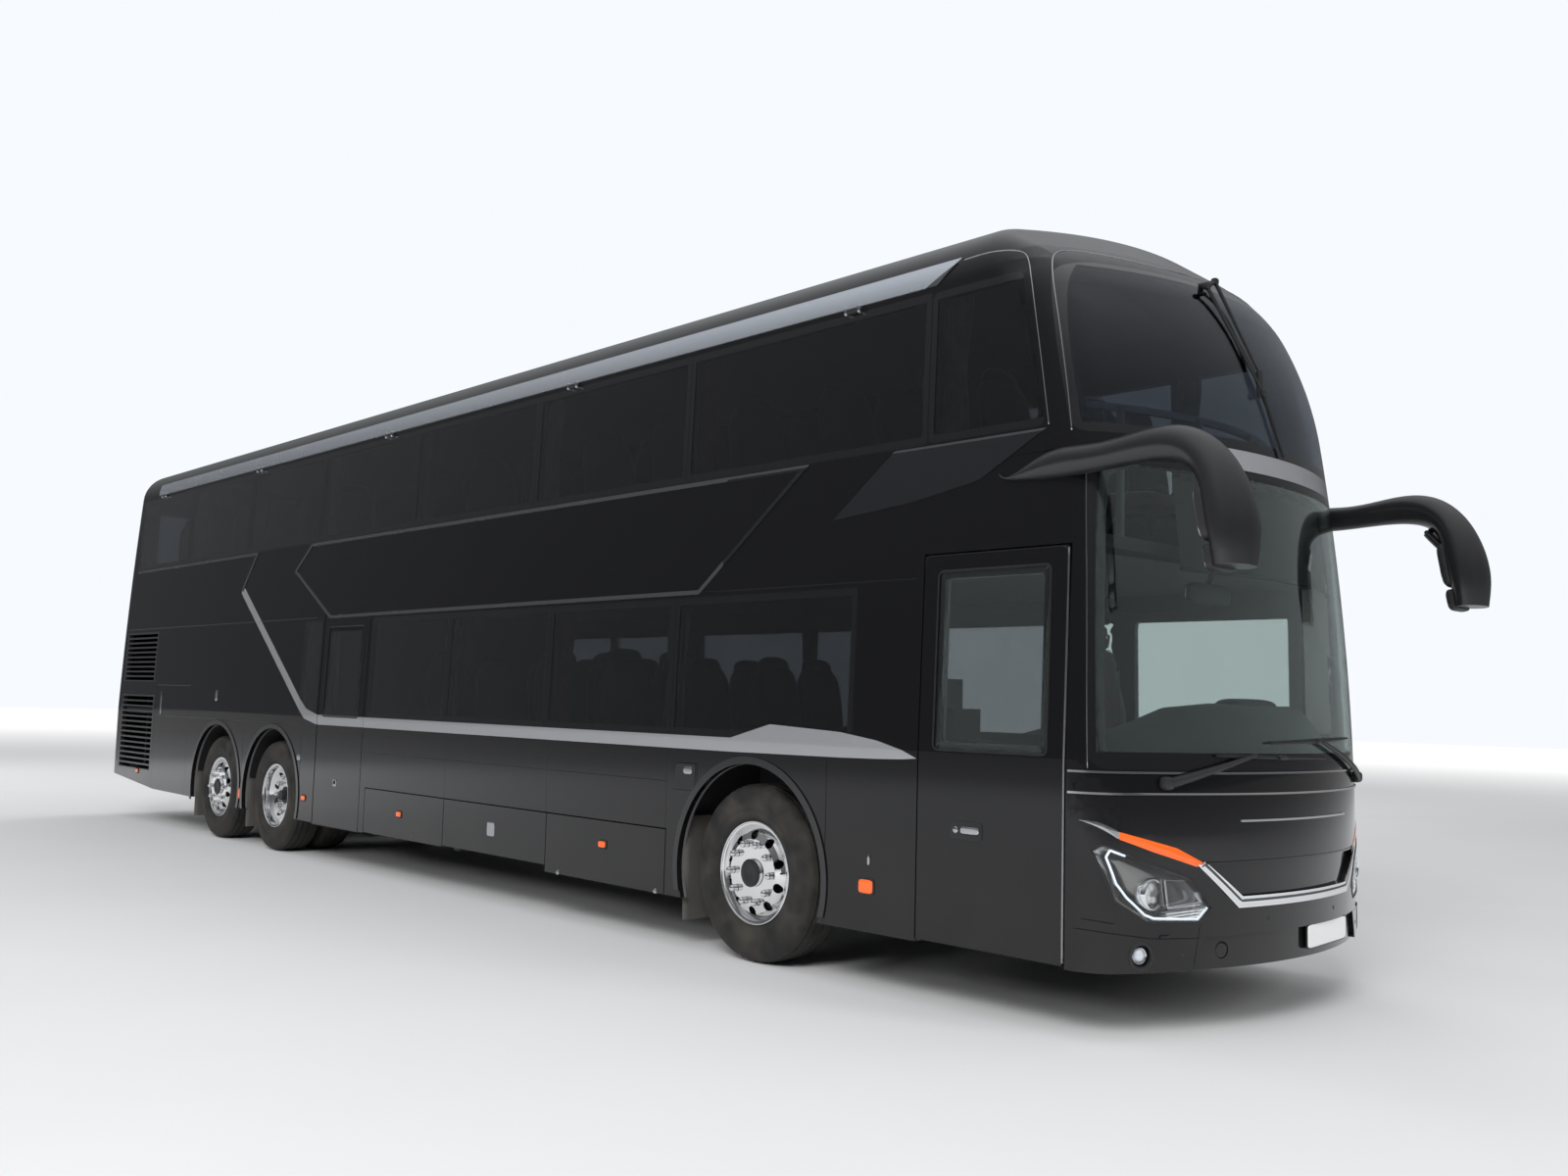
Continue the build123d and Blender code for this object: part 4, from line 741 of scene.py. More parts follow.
def ribbon(spine, half, proud, count, thick):
    """Grid of a flat bar laid on the front: four rails round its section, from a (y, z) spine.

    Its half width is a number, or a taper: shares of the length and the half widths there.
    """
    line = spans(spine, count)
    ahead = np.gradient(line, axis=0)
    ahead /= np.linalg.norm(ahead, axis=1, keepdims=True)
    across = np.stack([-ahead[:, 1], ahead[:, 0]], axis=-1)
    width = np.interp(np.linspace(0, 1, count), *half) if isinstance(half, tuple) else np.full(count, half)
    width = width[:, None]
    rails = [on_front(line - across * width, proud), on_front(line - across * width * 0.6, proud + thick),
             on_front(line + across * width * 0.6, proud + thick), on_front(line + across * width, proud)]
    points = np.stack(rails, axis=1)
    start, end = (end.mean(axis=1, keepdims=True) + 0 * end for end in (points[:1], points[-1:]))
    return np.concatenate([start, points, end]), False, True


# %% [markdown]
# A coach tyre has a steep rounded wall with a few rings, a square shoulder and a tread of ribs parted
# by zigzag grooves. One lathe grid carries it all: the tread's grooves are dips in the radius, which
# swing from side to side round the wheel.

# %% Tyres
WALL_RINGS = (               # radius, across from the tyre's middle
    (0.288, -0.114), (0.297, -0.118), (0.302, -0.134), (0.340, -0.1465), (0.352, -0.1440),
    (0.356, -0.1475), (0.400, -0.1475), (0.404, -0.1455), (0.430, -0.1445), (0.434, -0.1425),
    (0.462, -0.1380), (0.484, -0.1270), (0.4955, -0.1120), (0.5015, -0.0980),
)
GROOVES = (-0.078, -0.028, 0.028, 0.078)


def tyre(centre):
    """Lathe grid with zigzag grooves: 12 mm deep up to 3.5 mm from a groove's line, and gone at 6.5 mm."""
    wall = np.array(WALL_RINGS)
    tread = np.linspace(-0.095, 0.095, 49)
    width = np.concatenate([wall[:, 1], tread, -wall[::-1, 1]])
    crown = np.full(len(tread), TYRE_RADIUS - 0.0005) - 0.02 * tread ** 2 / 0.1 ** 2 * 0.1
    radius = np.concatenate([wall[:, 0], crown, wall[::-1, 0]])
    angle = np.linspace(0, 2 * pi, 192, endpoint=False)[:, None]
    zigzag = 0.0035 * (np.abs((angle * 48 / (2 * pi)) % 1 * 2 - 1) * 2 - 1)
    near = np.min([np.abs(width[None] - g - zigzag) for g in GROOVES], axis=0)
    depth = np.clip((0.0065 - near) / 0.003, 0, 1) * (np.abs(width[None]) < 0.0951)
    lug = (np.abs((angle * 64 / (2 * pi)) % 1 - 0.5) < 0.18) & (np.abs(np.abs(width[None]) - 0.100) < 0.016)
    r = radius[None] - 0.012 * depth - 0.004 * lug
    points, *closed = sheet(r * np.cos(angle), width[None], r * np.sin(angle), True)
    return points + centre, *closed


for axle in AXLES:
    for side, name in SIDES:
        node_name = f"tyre_{axle}_{name}"
        low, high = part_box(node_name)
        outer = high.y if side == 1 else low.y
        centres = [np.array((AXLES[axle], outer - side * TYRE_WIDTH / 2, TYRE_RADIUS))]
        if axle == "drive":
            inner = low.y if side == 1 else high.y
            centres.append(np.array((AXLES[axle], inner + side * TYRE_WIDTH / 2, TYRE_RADIUS)))
        piece = make(f"tread_{axle}_{name}", [tyre(c) for c in centres], "rubber", f"wheel_{axle}_{name}")
        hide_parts(node_name)

# %% [markdown]
# The wheels are forged alloy, already holed and polished in the frame. What is missing is small: a
# rolled bead at the rim's lip, domed caps over the nuts, a black centre cap and a tyre valve.

# %% Wheel details
NUT_CIRCLE = 0.1675
LIP_RADIUS = 0.289
LIP = (                      # past the lip's radius, behind the face
    (-0.004, 0.032), (0.005, 0.030), (0.006, 0.023), (-0.002, 0.019), (-0.007, 0.026), (-0.004, 0.032),
)
NUT_CAP = (                  # radius, out from the disc
    (0.0205, 0.003), (0.0205, 0.026), (0.0175, 0.040), (0.010, 0.046), (0.0, 0.0475),
)
CENTRE_CAP = (
    (0.0775, 0.008), (0.079, 0.018), (0.072, 0.0235), (0.045, 0.0245), (0.040, 0.0225), (0.0, 0.0225),
)
NUTS = 10


def wheel_extras(axle, name, side):
    """Lip bead, nut caps, centre cap and valve of one wheel."""
    body = f"wheel_{axle}_{name}"
    face = abs(hub(f"tyre_{axle}_{name}")[1]) + TYRE_WIDTH / 2
    if axle == "drive":
        face = abs(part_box(f"tyre_drive_{name}")[1 if side == 1 else 0].y)
    disc = face - (0.135 if axle == "drive" else 0.012)
    centre = np.array((AXLES[axle], 0.0, TYRE_RADIUS))
    lip = lathe([(LIP_RADIUS + out, face - back) for out, back in LIP], centre, turns=96, side=side)
    nut_cap, centre_cap = ([(radius, disc + out) for radius, out in cap] for cap in (NUT_CAP, CENTRE_CAP))
    caps = [lathe(nut_cap, centre + NUT_CIRCLE * np.array((cos(a), 0, sin(a))), turns=14, side=side)
            for a in np.arange(NUTS) * 2 * pi / NUTS]
    make(f"wheel_bright_{axle}_{name}", [lip] + caps, "chrome", body)
    cap = lathe(centre_cap, centre, turns=48, side=side)
    valve = tube([centre + (0.236, side * (disc - 0.03), 0.02),
                  centre + (0.240, side * (disc + 0.004), 0.02)], 0.005)
    make(f"wheel_centre_{axle}_{name}", [cap, valve], "plastic", body)


for axle in AXLES:
    for side, name in SIDES:
        wheel_extras(axle, name, side)

# %% [markdown]
# Each headlamp is a clear cover over a dark bowl with a shield, a projector, a bright reflector and a
# light guide down its outer side and along its foot. The amber indicator runs as a slim wing above it. They are built on the front's
# own formula, layer behind layer.

# %% Headlamps
HEADLAMP = ((1.247, 0.849), (1.221, 0.877), (1.040, 0.800), (0.830, 0.731), (0.698, 0.594), (0.757, 0.526),
            (1.041, 0.536), (1.180, 0.628))
INDICATOR = ((1.269, 0.982), (1.237, 0.979), (1.161, 0.935), (0.892, 0.862), (0.744, 0.791), (0.781, 0.774),
             (1.010, 0.846), (1.165, 0.903))


def outline(points, count=96, shrink=0.0):
    """A closed outline sampled evenly, pulled towards its middle by a share."""
    points = np.array(points + (points[0],))
    line = spans(points, count + 1)[:-1]
    middle = np.array(points[:-1]).mean(axis=0)
    return line + (middle - line) * shrink


def patch(points, proud, side, shrink=0.0, rings=7, crown=0.0, sink=0.0):
    """Filled outline on the front: rings that close towards the middle, raised or sunk by a crown."""
    rim = outline(points, shrink=shrink)
    middle = rim.mean(axis=0)
    t = np.linspace(0, 1, rings)[:, None, None]
    flat = rim[None] * (1 - t) + middle * t
    depth = proud + crown * (1 - (1 - t[..., 0]) ** 2) - sink * np.minimum(1, t[..., 0] * 6)
    flat = flat * np.array([side, 1.0])
    y, z = flat[..., 0], flat[..., 1]
    return sheet(front_x(y, z) + depth, y, z, round_v=True)


def shell(points, side, thick, crown):
    """Closed thin cover: an outer patch and an inner one a thickness below it, joined at the rim."""
    outer = patch(points, 0.0005, side, crown=crown)[0]
    inner = patch(points, 0.0005 - thick, side, crown=crown)[0]
    return np.concatenate([outer[::-1], inner]), False, True


def facing(grid, centre, angle):
    """Turn a grid about the upright line through a place."""
    points, round_u, round_v = grid
    c, s = cos(angle), sin(angle)
    middle = np.asarray(centre, float)
    return (points - middle) @ np.array([[c, s, 0], [-s, c, 0], [0, 0, 1]]) + middle, round_u, round_v


def bezel(points, proud, side, width):
    """Bright frame round an outline: a half-round bead carried along it."""
    line = outline(points)
    path = np.stack([front_x(line[:, 0], line[:, 1]) + proud, line[:, 0] * side, line[:, 1]], axis=-1)
    return tube(path, width, 8, closed=True)


def line_on_front(points, depth, radius, side, count=60, sides=8):
    """A round bar laid behind the front's skin along (y, z) points."""
    line = spans(points, count)
    path = np.stack([front_x(line[:, 0], line[:, 1], depth), line[:, 0] * side, line[:, 1]], axis=-1)
    return tube(path, radius, sides)


GUIDE = ((1.130, 0.828), (1.190, 0.852), (1.203, 0.822), (1.168, 0.706), (1.124, 0.645),
         (1.040, 0.566), (0.998, 0.550), (0.775, 0.540), (0.722, 0.590))
SHIELD = ((1.200, 0.835), (1.180, 0.848), (1.020, 0.785), (0.940, 0.742), (0.905, 0.640),
          (0.935, 0.575), (1.040, 0.585), (1.125, 0.668))
REFLECTOR = ((0.930, 0.716), (0.800, 0.712), (0.738, 0.612), (0.915, 0.592))
PROJECTOR = (0.992, 0.655)
FOG = (1.062, 0.385)

for side, name in SIDES:
    cover = make(f"headlamp_cover_{name}", [shell(HEADLAMP, side, 0.0035, 0.003)], "cover")
    bowl = [patch(HEADLAMP, -0.006, side, sink=0.075, rings=12), bezel(HEADLAMP, -0.002, side, 0.006)]
    make(f"headlamp_bowl_{name}", bowl, "plastic")
    make(f"headlamp_shield_{name}", [patch(SHIELD, -0.045, side, crown=0.022, rings=10)], "housing")
    place = np.array((front_x(*PROJECTOR) - 0.022, side * PROJECTOR[0], PROJECTOR[1]))
    ring = lathe([(0.058, -0.010), (0.060, 0.004), (0.066, 0.009), (0.073, 0.004), (0.076, -0.010),
                  (0.078, -0.030)], place, "x", 56)
    cup = lathe([(0.059, -0.004), (0.050, -0.018), (0.030, -0.028), (0.0, -0.031)], place, "x", 48)
    lobes = [lathe([(0.020, -0.016), (0.019, -0.006), (0.012, -0.001), (0.0, 0.001)],
                   place + 0.030 * np.array((0, cos(a), sin(a))), "x", 20)
             for a in np.arange(5) * 2 * pi / 5 + 0.3]
    # The reflector's brightness is a painted reflection in its colour.
    reflector = patch(REFLECTOR, -0.022, side, sink=0.030, rings=9)
    divider = line_on_front(((0.935, 0.722), (0.918, 0.590), (0.745, 0.604)), -0.020, 0.0035, side)
    make(f"headlamp_bright_{name}", [ring, cup, divider], "chrome")
    make(f"headlamp_reflector_{name}", [reflector], "reflector")
    bars = [line_on_front(((0.925, 0.566 - k * 0.0135), (0.690 + k * 0.006, 0.583 - k * 0.0135)),
                          -0.020, 0.0042, side, 24) for k in range(3)]
    make(f"headlamp_eye_{name}", lobes + bars, "white_lens")
    make(f"headlamp_guide_{name}", [line_on_front(GUIDE, -0.008, 0.0058, side, 120)], "guide")
    amber = tuple(p for p in INDICATOR if p[0] < 1.166)
    clear = tuple(p for p in INDICATOR if p[0] > 1.160)
    make(f"indicator_{name}", [patch(amber, 0.001, side, crown=0.004)], "amber")
    make(f"indicator_tip_{name}", [patch(clear, 0.001, side, crown=0.003)], "bright")
    aim = np.array((front_x(*FOG), side * FOG[0], FOG[1]))
    yaw = side * np.arcsin(FOG[0] / NOSE_RADIUS)
    fog_ring = facing(lathe([(0.050, -0.030), (0.048, -0.002), (0.052, 0.003), (0.060, 0.003), (0.066, 0.0015),
                             (0.067, -0.008)], aim, "x", 44), aim, yaw)
    fog_back = facing(lathe([(0.050, -0.022), (0.030, -0.030), (0.0, -0.032)], aim, "x", 32), aim, yaw)
    fog_cup = facing(lathe([(0.036, -0.010), (0.039, -0.012), (0.036, -0.022), (0.031, -0.014)],
                           aim + (0, side * 0.004, 0), "x", 32), aim, yaw)
    fog_eye = facing(lathe([(0.030, -0.018), (0.026, -0.008), (0.014, -0.002), (0.0, 0.000)],
                           aim + (0, side * 0.004, 0), "x", 28), aim, yaw)
    make(f"fog_socket_{name}", [fog_ring, fog_back], "plastic")
    make(f"fog_bright_{name}", [fog_cup], "chrome")
    # The fog lamp's eye takes the same painted reflection.
    make(f"fog_eye_{name}", [fog_eye], "reflector")
    if name == "left":
        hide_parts("front_lamps")

# %% [markdown]
# The bright outline under the grille field has a rounded face, so that it mirrors floor and sky as two
# tones. It is a bar with a crowned section over the frame's flat one. The tow hole's cover is a
# painted cap. Four small round sensors and the lids of the lamp washers lie on the bumper.

# %% Grille outline and small covers
TOW = (0.620, 0.392)
GRILLE_LINE = ((-0.760, 0.786), (-0.533, 0.606), (0.533, 0.606), (0.760, 0.786))
HALF_BAR = 0.023
make("grille_outline", [ribbon(GRILLE_LINE, HALF_BAR, 0.001, 160, 0.0085)], "chrome")


def skin_disc(y, z, radius, proud, side_y, thick=0.004):
    """A shallow round cap whose points all lie on the skin."""
    t = np.linspace(0, 1, 7)[:, None]
    a = np.linspace(0, 2 * pi, 40, endpoint=False)[None]
    r = radius * np.minimum(1.0, (1 - t) * 1.06)
    yy, zz = y + r * np.cos(a), z + r * np.sin(a)
    return sheet(front_x(yy, zz) + proud + thick * np.minimum(1.0, t * 12), side_y * yy, zz, round_v=True)


make("tow_cover", [skin_disc(*TOW, 0.0385, -0.026, -1)], "nose")
make("front_sensors", [skin_disc(0.862, 0.385, 0.011, -0.0005, side, 0.0015) for side in (-1, 1)]
     + [skin_disc(0.330, 0.520, 0.011, -0.0005, side, 0.0015) for side in (-1, 1)], "plastic")
LID_Y = 0.954
make("washer_lids", [pillow((front_x(LID_Y, 0.465) + 0.001, side * LID_Y, 0.468), (0.012, 0.052, 0.020), 4,
                            turn=Matrix.Rotation(side * np.arcsin(LID_Y / NOSE_RADIUS), 4, "Z"))
                     for side in (-1, 1)], "nose")

# %% [markdown]
# A thin bright seal runs round the upper screen, and fine dark lines mark the lower screen's sides and
# the front door's leading edge. Where the skin turns the corner, places are found from how far behind
# the front they lie, because there the front's own formula is too steep to start from.

# %% Screen seals
def corner_y(x, z, proud=0.0):
    """Half width of the skin at a place along the coach, on the corner arc."""
    nose = NOSE_RADIUS - recede(z) + proud
    corner = CORNER_RADIUS + proud
    centre_y = wall_y(z) + proud - corner
    centre_x = FRONT - NOSE_RADIUS + np.sqrt((nose - corner) ** 2 - centre_y ** 2)
    past = np.maximum(np.asarray(x, float) - centre_x, 0.0)
    return centre_y + np.sqrt(np.maximum(corner ** 2 - past ** 2, 0.0))


def edge_line(behind_z, side, proud=0.0):
    """Places on the corner from (behind, height) pairs."""
    line = spans(behind_z, 50)
    x = along(line[:, 0])
    return np.stack([x, side * (corner_y(x, line[:, 1]) + proud), line[:, 1]], axis=-1)


def smoothed(points, rounds=3):
    """Corner cutting: each round keeps the places a quarter and three quarters along every piece."""
    points = np.asarray(points, float)
    for _ in range(rounds):
        a, b = points[:-1], points[1:]
        cut = np.stack([a * 0.75 + b * 0.25, a * 0.25 + b * 0.75], axis=1).reshape(-1, points.shape[1])
        points = np.concatenate([points[:1], cut, points[-1:]])
    return points


SKIN_NODES = ("front_frame", "windscreens", "upper_wall_right", "upper_wall_left", "glass_right",
              "glass_left", "roof")


def skin_tree():
    """The outer skin's triangles as one search tree."""
    verts, faces = [], []
    for name in SKIN_NODES:
        mesh = NODES[name].data
        start = len(verts)
        verts += [v.co[:] for v in mesh.vertices]
        faces += [[start + k for k in p.vertices] for p in mesh.polygons]
    return BVHTree.FromPolygons(verts, faces)


SKIN = skin_tree()


def drape(points, inward):
    """Move places onto the skin along a direction for each, from half a metre outside it."""
    out = []
    for point, way in zip(points, inward):
        way = Vector(way).normalized()
        hit = SKIN.ray_cast(Vector(point) - way * 0.5, way)[0]
        out.append(point if hit is None else np.array(hit))
    return np.array(out)


UPPER_EDGE = ((0.535, 2.785), (0.562, 2.974), (0.618, 3.271), (0.672, 3.480), (0.712, 3.605))
UPPER_TOP = ((1.060, 3.725), (0.960, 3.770), (0.800, 3.772), (0.600, 3.752), (0.300, 3.746), (0.0, 3.745))
LOWER_EDGE = ((0.404, 1.215), (0.413, 1.442), (0.426, 1.826), (0.437, 2.086), (0.470, 2.660))
SIDE_BEAD = ((0.654, 2.827), (0.719, 3.212), (0.773, 3.500), (0.812, 3.650), (0.850, 3.735),
             (0.940, 3.765), (1.110, 3.776), (1.236, 3.770))
seals, dark_lines = [], []
for side in (-1, 1):
    edge = np.array([(along(b), side * float(corner_y(along(b), z)), z) for b, z in UPPER_EDGE])
    top = on_front(np.array(UPPER_TOP) * (side, 1), 0.0)
    loop = spans(smoothed(np.concatenate([edge, top])), 130)
    inward = np.array((along(1.5), 0.0, -0.30)) - loop * (1, 1, 0)
    seals.append(tube(drape(loop, inward), 0.0038, 8))
    bead = spans(smoothed([(b, z) for b, z in SIDE_BEAD]), 90)
    bead = np.stack([along(bead[:, 0]), side * wall_y(bead[:, 1]), bead[:, 1]], axis=-1)
    seals.append(tube(drape(bead, np.tile((-0.25, -side, 0.0), (len(bead), 1))), 0.0034, 8))
    dark_lines.append(tube(edge_line(LOWER_EDGE, side), 0.0030, 8))
make("upper_screen_seal", seals, "bright")
make("lower_screen_edges", dark_lines, "tube")
edge_z = np.linspace(0.335, 2.230, 40)
leading = sheet(along(0.517), -(wall_y(edge_z) + 0.0005), edge_z)[0]
make("door_leading_edge", [tube(leading, 0.0055, 8)], "tube", "front_door")

# %% [markdown]
# Wipers are slim boxed arms that carry a spring bow and a rubber lip. The lower pair sweeps from the
# corners of the mask, and the upper one hangs from above its screen on two parallel arms.

# %% Wipers
WIPERS = (
    ((-0.946, 1.154), (-0.440, 1.287), ((-0.679, 1.281), (0.215, 1.268))),
    ((0.946, 1.154), (0.140, 1.355), ((-0.321, 1.343), (0.608, 1.367))),
)
ARM_TAPER = ((0, 0.35, 1), (0.026, 0.020, 0.009))             # share of the length, half width
BLADE_TAPER = ((0, 0.5, 1), (0.006, 0.012, 0.006))
UPPER_BLADE_TAPER = ((0, 0.5, 1), (0.006, 0.013, 0.006))
grids_arm, grids_blade = [], []
for pivot, elbow, (tip_a, tip_b) in WIPERS:
    grids_arm.append(ribbon([pivot, elbow], ARM_TAPER, 0.024, 24, 0.012))
    head = np.array((front_x(*pivot, 0.012), *pivot))
    grids_arm.append(pillow(head, (0.055, 0.075, 0.060), 3.2))
    grids_blade.append(ribbon([tip_a, tip_b], BLADE_TAPER, 0.010, 40, 0.012))
    mid = (np.array(tip_a) + np.array(tip_b)) / 2
    grids_arm.append(pillow(np.array((front_x(*mid, 0.024), *mid)), (0.022, 0.070, 0.024), 3.5))
PIVOTS = ((0.390, -0.174, 3.711), (0.370, -0.288, 3.657))     # behind the front, y, z
ENDS = ((-0.112, 3.205), (-0.120, 3.100))
for (behind, y, z), end in zip(PIVOTS, ENDS):
    foot = np.array((front_x(*end, 0.036), *end))
    rod = np.array((along(behind), y, z)) + (foot - (along(behind), y, z)) * np.linspace(0, 1, 16)[:, None]
    grids_arm += [tube(rod, np.interp(np.linspace(0, 1, 16), (0, 0.4, 1), (0.011, 0.009, 0.007)), 8),
                  pillow((along(behind), y, z), (0.036, 0.040, 0.036), 3),
                  pillow(foot, (0.030, 0.030, 0.036), 3.2)]
hang = np.array([(front_x(-0.231, 3.684, -0.010), -0.231, 3.684), (along(0.380), -0.231, 3.684)])
grids_arm.append(tube(hang[:1] + (hang[1:] - hang[:1]) * np.linspace(0, 1, 8)[:, None], 0.016, 10))
grids_arm.append(tube(np.array([(along(b), y, z) for b, y, z in PIVOTS]), 0.012, 10))
grids_arm.append(pillow(np.array((front_x(-0.116, 3.150, 0.026), -0.116, 3.150)), (0.026, 0.034, 0.150), 3.2))
grids_blade.append(ribbon([(-0.204, 3.385), (0.027, 2.784)], UPPER_BLADE_TAPER, 0.012, 40, 0.012))
arms = make("wiper_arms", grids_arm, "plastic")
make("wiper_blades", grids_blade, "seal")
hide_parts("wipers")

# %% [markdown]
# The mirrors' shells are in the frame. The glasses face back towards the driver, one tall flat one and
# a small wide-angle one below it, each in a thin rim. A small kerb mirror hangs by the left one.

# %% Mirror glasses
for side, name in SIDES:
    tilt = Matrix.Rotation(radians(-10), 4, "Y")
    tall = np.array((FRONT + 0.220, side * 1.250, 2.320))
    wide = np.array((FRONT + 0.250, side * 1.250, 2.128))
    make(f"mirror_rim_{name}", [pillow(tall, (0.056, 0.225, 0.250), 5, turn=tilt),
                                pillow(wide, (0.050, 0.205, 0.120), 5, turn=tilt)], "plastic")
    make(f"mirror_glass_{name}", [pillow(tall - (0.026, 0, 0.004), (0.008, 0.200, 0.225), 5, turn=tilt),
                                  pillow(wide - (0.023, 0, 0.004), (0.008, 0.180, 0.098), 5, turn=tilt)],
         "mirror_glass")

KERB_TURN = Matrix.Rotation(radians(47), 4, "Y")
kerb = np.array((FRONT + 0.168, 1.250, 2.440))
make("kerb_mirror", [pillow(kerb, (0.215, 0.150, 0.030), 4, turn=KERB_TURN),
                     tube(np.array([kerb + (-0.060, 0, 0.070), kerb + (-0.030, 0, 0.150)]), 0.016, 10)],
     "mirror_shell")
make("kerb_mirror_glass", [pillow(kerb + (-0.012, 0, -0.012), (0.195, 0.130, 0.010), 5, turn=KERB_TURN)],
     "mirror_glass")

# %% [markdown]
# Small fittings on the sides: amber side markers in dark rims, a grey sensor square, latches, the fuel
# recess with its pull, flap bolts, the door handle's plate, and clips on the roof rail. They are rounded boxes set
# a few millimetres into the skin.

# %% Side fittings
def on_side(behind, z, side, proud=0.0):
    """A place on the side's skin, or a little proud of it."""
    return np.array((along(behind), side * (float(wall_y(z)) + proud), z))


def stud(behind, z, side, size, power, proud=0.0):
    """A rounded box set into the side's skin."""
    return pillow(on_side(behind, z, side, proud), size, power)


MARKERS = (                  # behind, height, width, depth
    (1.743, 0.539, 0.100, 0.070), (4.086, 0.541, 0.075, 0.040), (6.844, 0.524, 0.075, 0.040),
    (8.628, 0.533, 0.075, 0.040), (10.070, 0.480, 0.032, 0.090), (13.026, 0.543, 0.075, 0.040),
)
LATCHES = ((10.828, 1.408, 0.050, 0.105), (12.410, 1.307, 0.022, 0.240), (1.728, 0.675, 0.016, 0.050),
           (8.775, 0.885, 0.060, 0.056))
FLAP_BOLTS = ((4.585, 0.311), (3.520, 0.311))
BOLT = ((0.016, -0.002), (0.016, 0.005), (0.011, 0.008), (0.0, 0.008))
SENSOR = (5.458, 0.524)
CLIPS = (1.985, 4.715, 7.445, 10.175, 12.880)
CLIP_Z = 3.640
FLAP_OF = ((3.440, 4.745, "1"), (4.753, 6.145, "2"), (6.153, 7.450, "3"))


def body_at(behind, z, name):
    """The body that carries a small piece on the side: a flap, a door or the coach itself."""
    for b0, b1, number in FLAP_OF:
        if b0 < behind < b1 and z < 0.69:
            return f"flap_{name}_{number}"
    if name == "right" and 0.52 < behind < 1.40:
        return "front_door"
    if name == "right" and 7.558 < behind < 8.430:
        return "middle_door"
    return "body"


for side, name in SIDES:
    for number, (behind, z, width, depth) in enumerate(MARKERS):
        body = body_at(behind, z, name)
        rim = (width + 0.018, 0.012, depth + 0.018)
        make(f"marker_rim_{name}_{number}", [stud(behind, z, side, rim, 6)], "plastic", body)
        make(f"marker_{name}_{number}", [stud(behind, z, side, (width, 0.016, depth), 5, 0.004)],
             "amber", body)
    make(f"sensor_{name}", [stud(*SENSOR, side, (0.10, 0.008, 0.10), 8)], "bright", body_at(*SENSOR, name))
    make(f"latches_{name}", [stud(b, z, side, (w, 0.014, h), 5) for b, z, w, h in LATCHES], "bright")
    make(f"fuel_recess_{name}", [stud(3.262, 1.020, side, (0.185, 0.008, 0.150), 8)], "plastic")
    make(f"fuel_pull_{name}", [stud(3.235, 1.058, side, (0.080, 0.014, 0.046), 4, 0.004)], "bright")
    bolts = [lathe(BOLT, on_side(b, z, side), "y", 20, side) for b, z in FLAP_BOLTS]
    make(f"flap_bolts_{name}", bolts, "bright", f"flap_{name}_1")
    make(f"roof_clips_{name}", [stud(b, CLIP_Z, side, (0.095, 0.034, 0.030), 4, 0.014) for b in CLIPS],
         "plastic")
    make(f"roof_clip_ends_{name}", [stud(b + d, CLIP_Z + 0.004, side, (0.022, 0.040, 0.052), 3, 0.016)
                                    for b in CLIPS for d in (-0.050, 0.050)], "bright")

LEAF_LATCH = (8.022, 0.703)
make("door_latch_frame", [stud(*LEAF_LATCH, -1, (0.066, 0.010, 0.066), 6)], "bright", "middle_door")
make("door_latch", [stud(*LEAF_LATCH, -1, (0.034, 0.010, 0.034), 5, 0.004)], "plastic", "middle_door")
handle_at = on_side(1.085, 0.880, -1)
make("door_handle_plate", [pillow(handle_at, (0.20, 0.010, 0.085), 7)], "plastic", "front_door")
make("door_handle", [pillow(handle_at + (0.030, -0.008, 0.002), (0.115, 0.014, 0.035), 5),
                     lathe([(0.017, 0.004), (0.017, 0.010), (0.013, 0.013), (0.0, 0.013)],
                           handle_at + (-0.06, 0, 0), "y", 24, side=-1)], "bright", "front_door")

# %% [markdown]
# Door rubbers frame the door glass and fill the gap round the leaf. They are round cords carried along
# a rounded rectangle, on the skin's own lean.

# %% Door rubbers and frames
def rectangle(b0, b1, z0, z1, radius, count=10):
    """A rounded rectangle in side view, as (behind, height) pairs."""
    corners = ((b0 + radius, z0 + radius, pi), (b1 - radius, z0 + radius, 1.5 * pi),
               (b1 - radius, z1 - radius, 0.0), (b0 + radius, z1 - radius, 0.5 * pi))
    t = np.linspace(0, pi / 2, count)
    return np.concatenate([np.stack([b + radius * np.cos(a + t), z + radius * np.sin(a + t)], axis=-1)
                           for b, z, a in corners])


def side_loop(b0, b1, z0, z1, radius, side, proud, thick):
    loop = rectangle(b0, b1, z0, z1, radius)
    path = np.stack([along(loop[:, 0]), side * (wall_y(loop[:, 1]) + proud), loop[:, 1]], axis=-1)
    return tube(path, thick, 8, closed=True)


for door, (b0, b1, z0, z1), (g0, g1, h0, h1) in (
        ("front_door", (0.520, 1.400, 0.322, 2.240), (0.615, 1.305, 1.262, 2.155)),
        ("middle_door", (7.558, 8.430, 0.322, 2.140), (7.653, 8.335, 1.262, 2.040))):
    make(f"{door}_rubber", [side_loop(b0 + 0.004, b1 - 0.004, z0 + 0.004, z1 - 0.004, 0.03, -1, -0.004, 0.0045),
                            side_loop(g0, g1, h0, h1, 0.03, -1, 0.0, 0.006)], "seal", door)

# %% [markdown]
# Mud flaps hang behind the wheels: stiff rubber sheets with a slight curve, fixed under the arches.

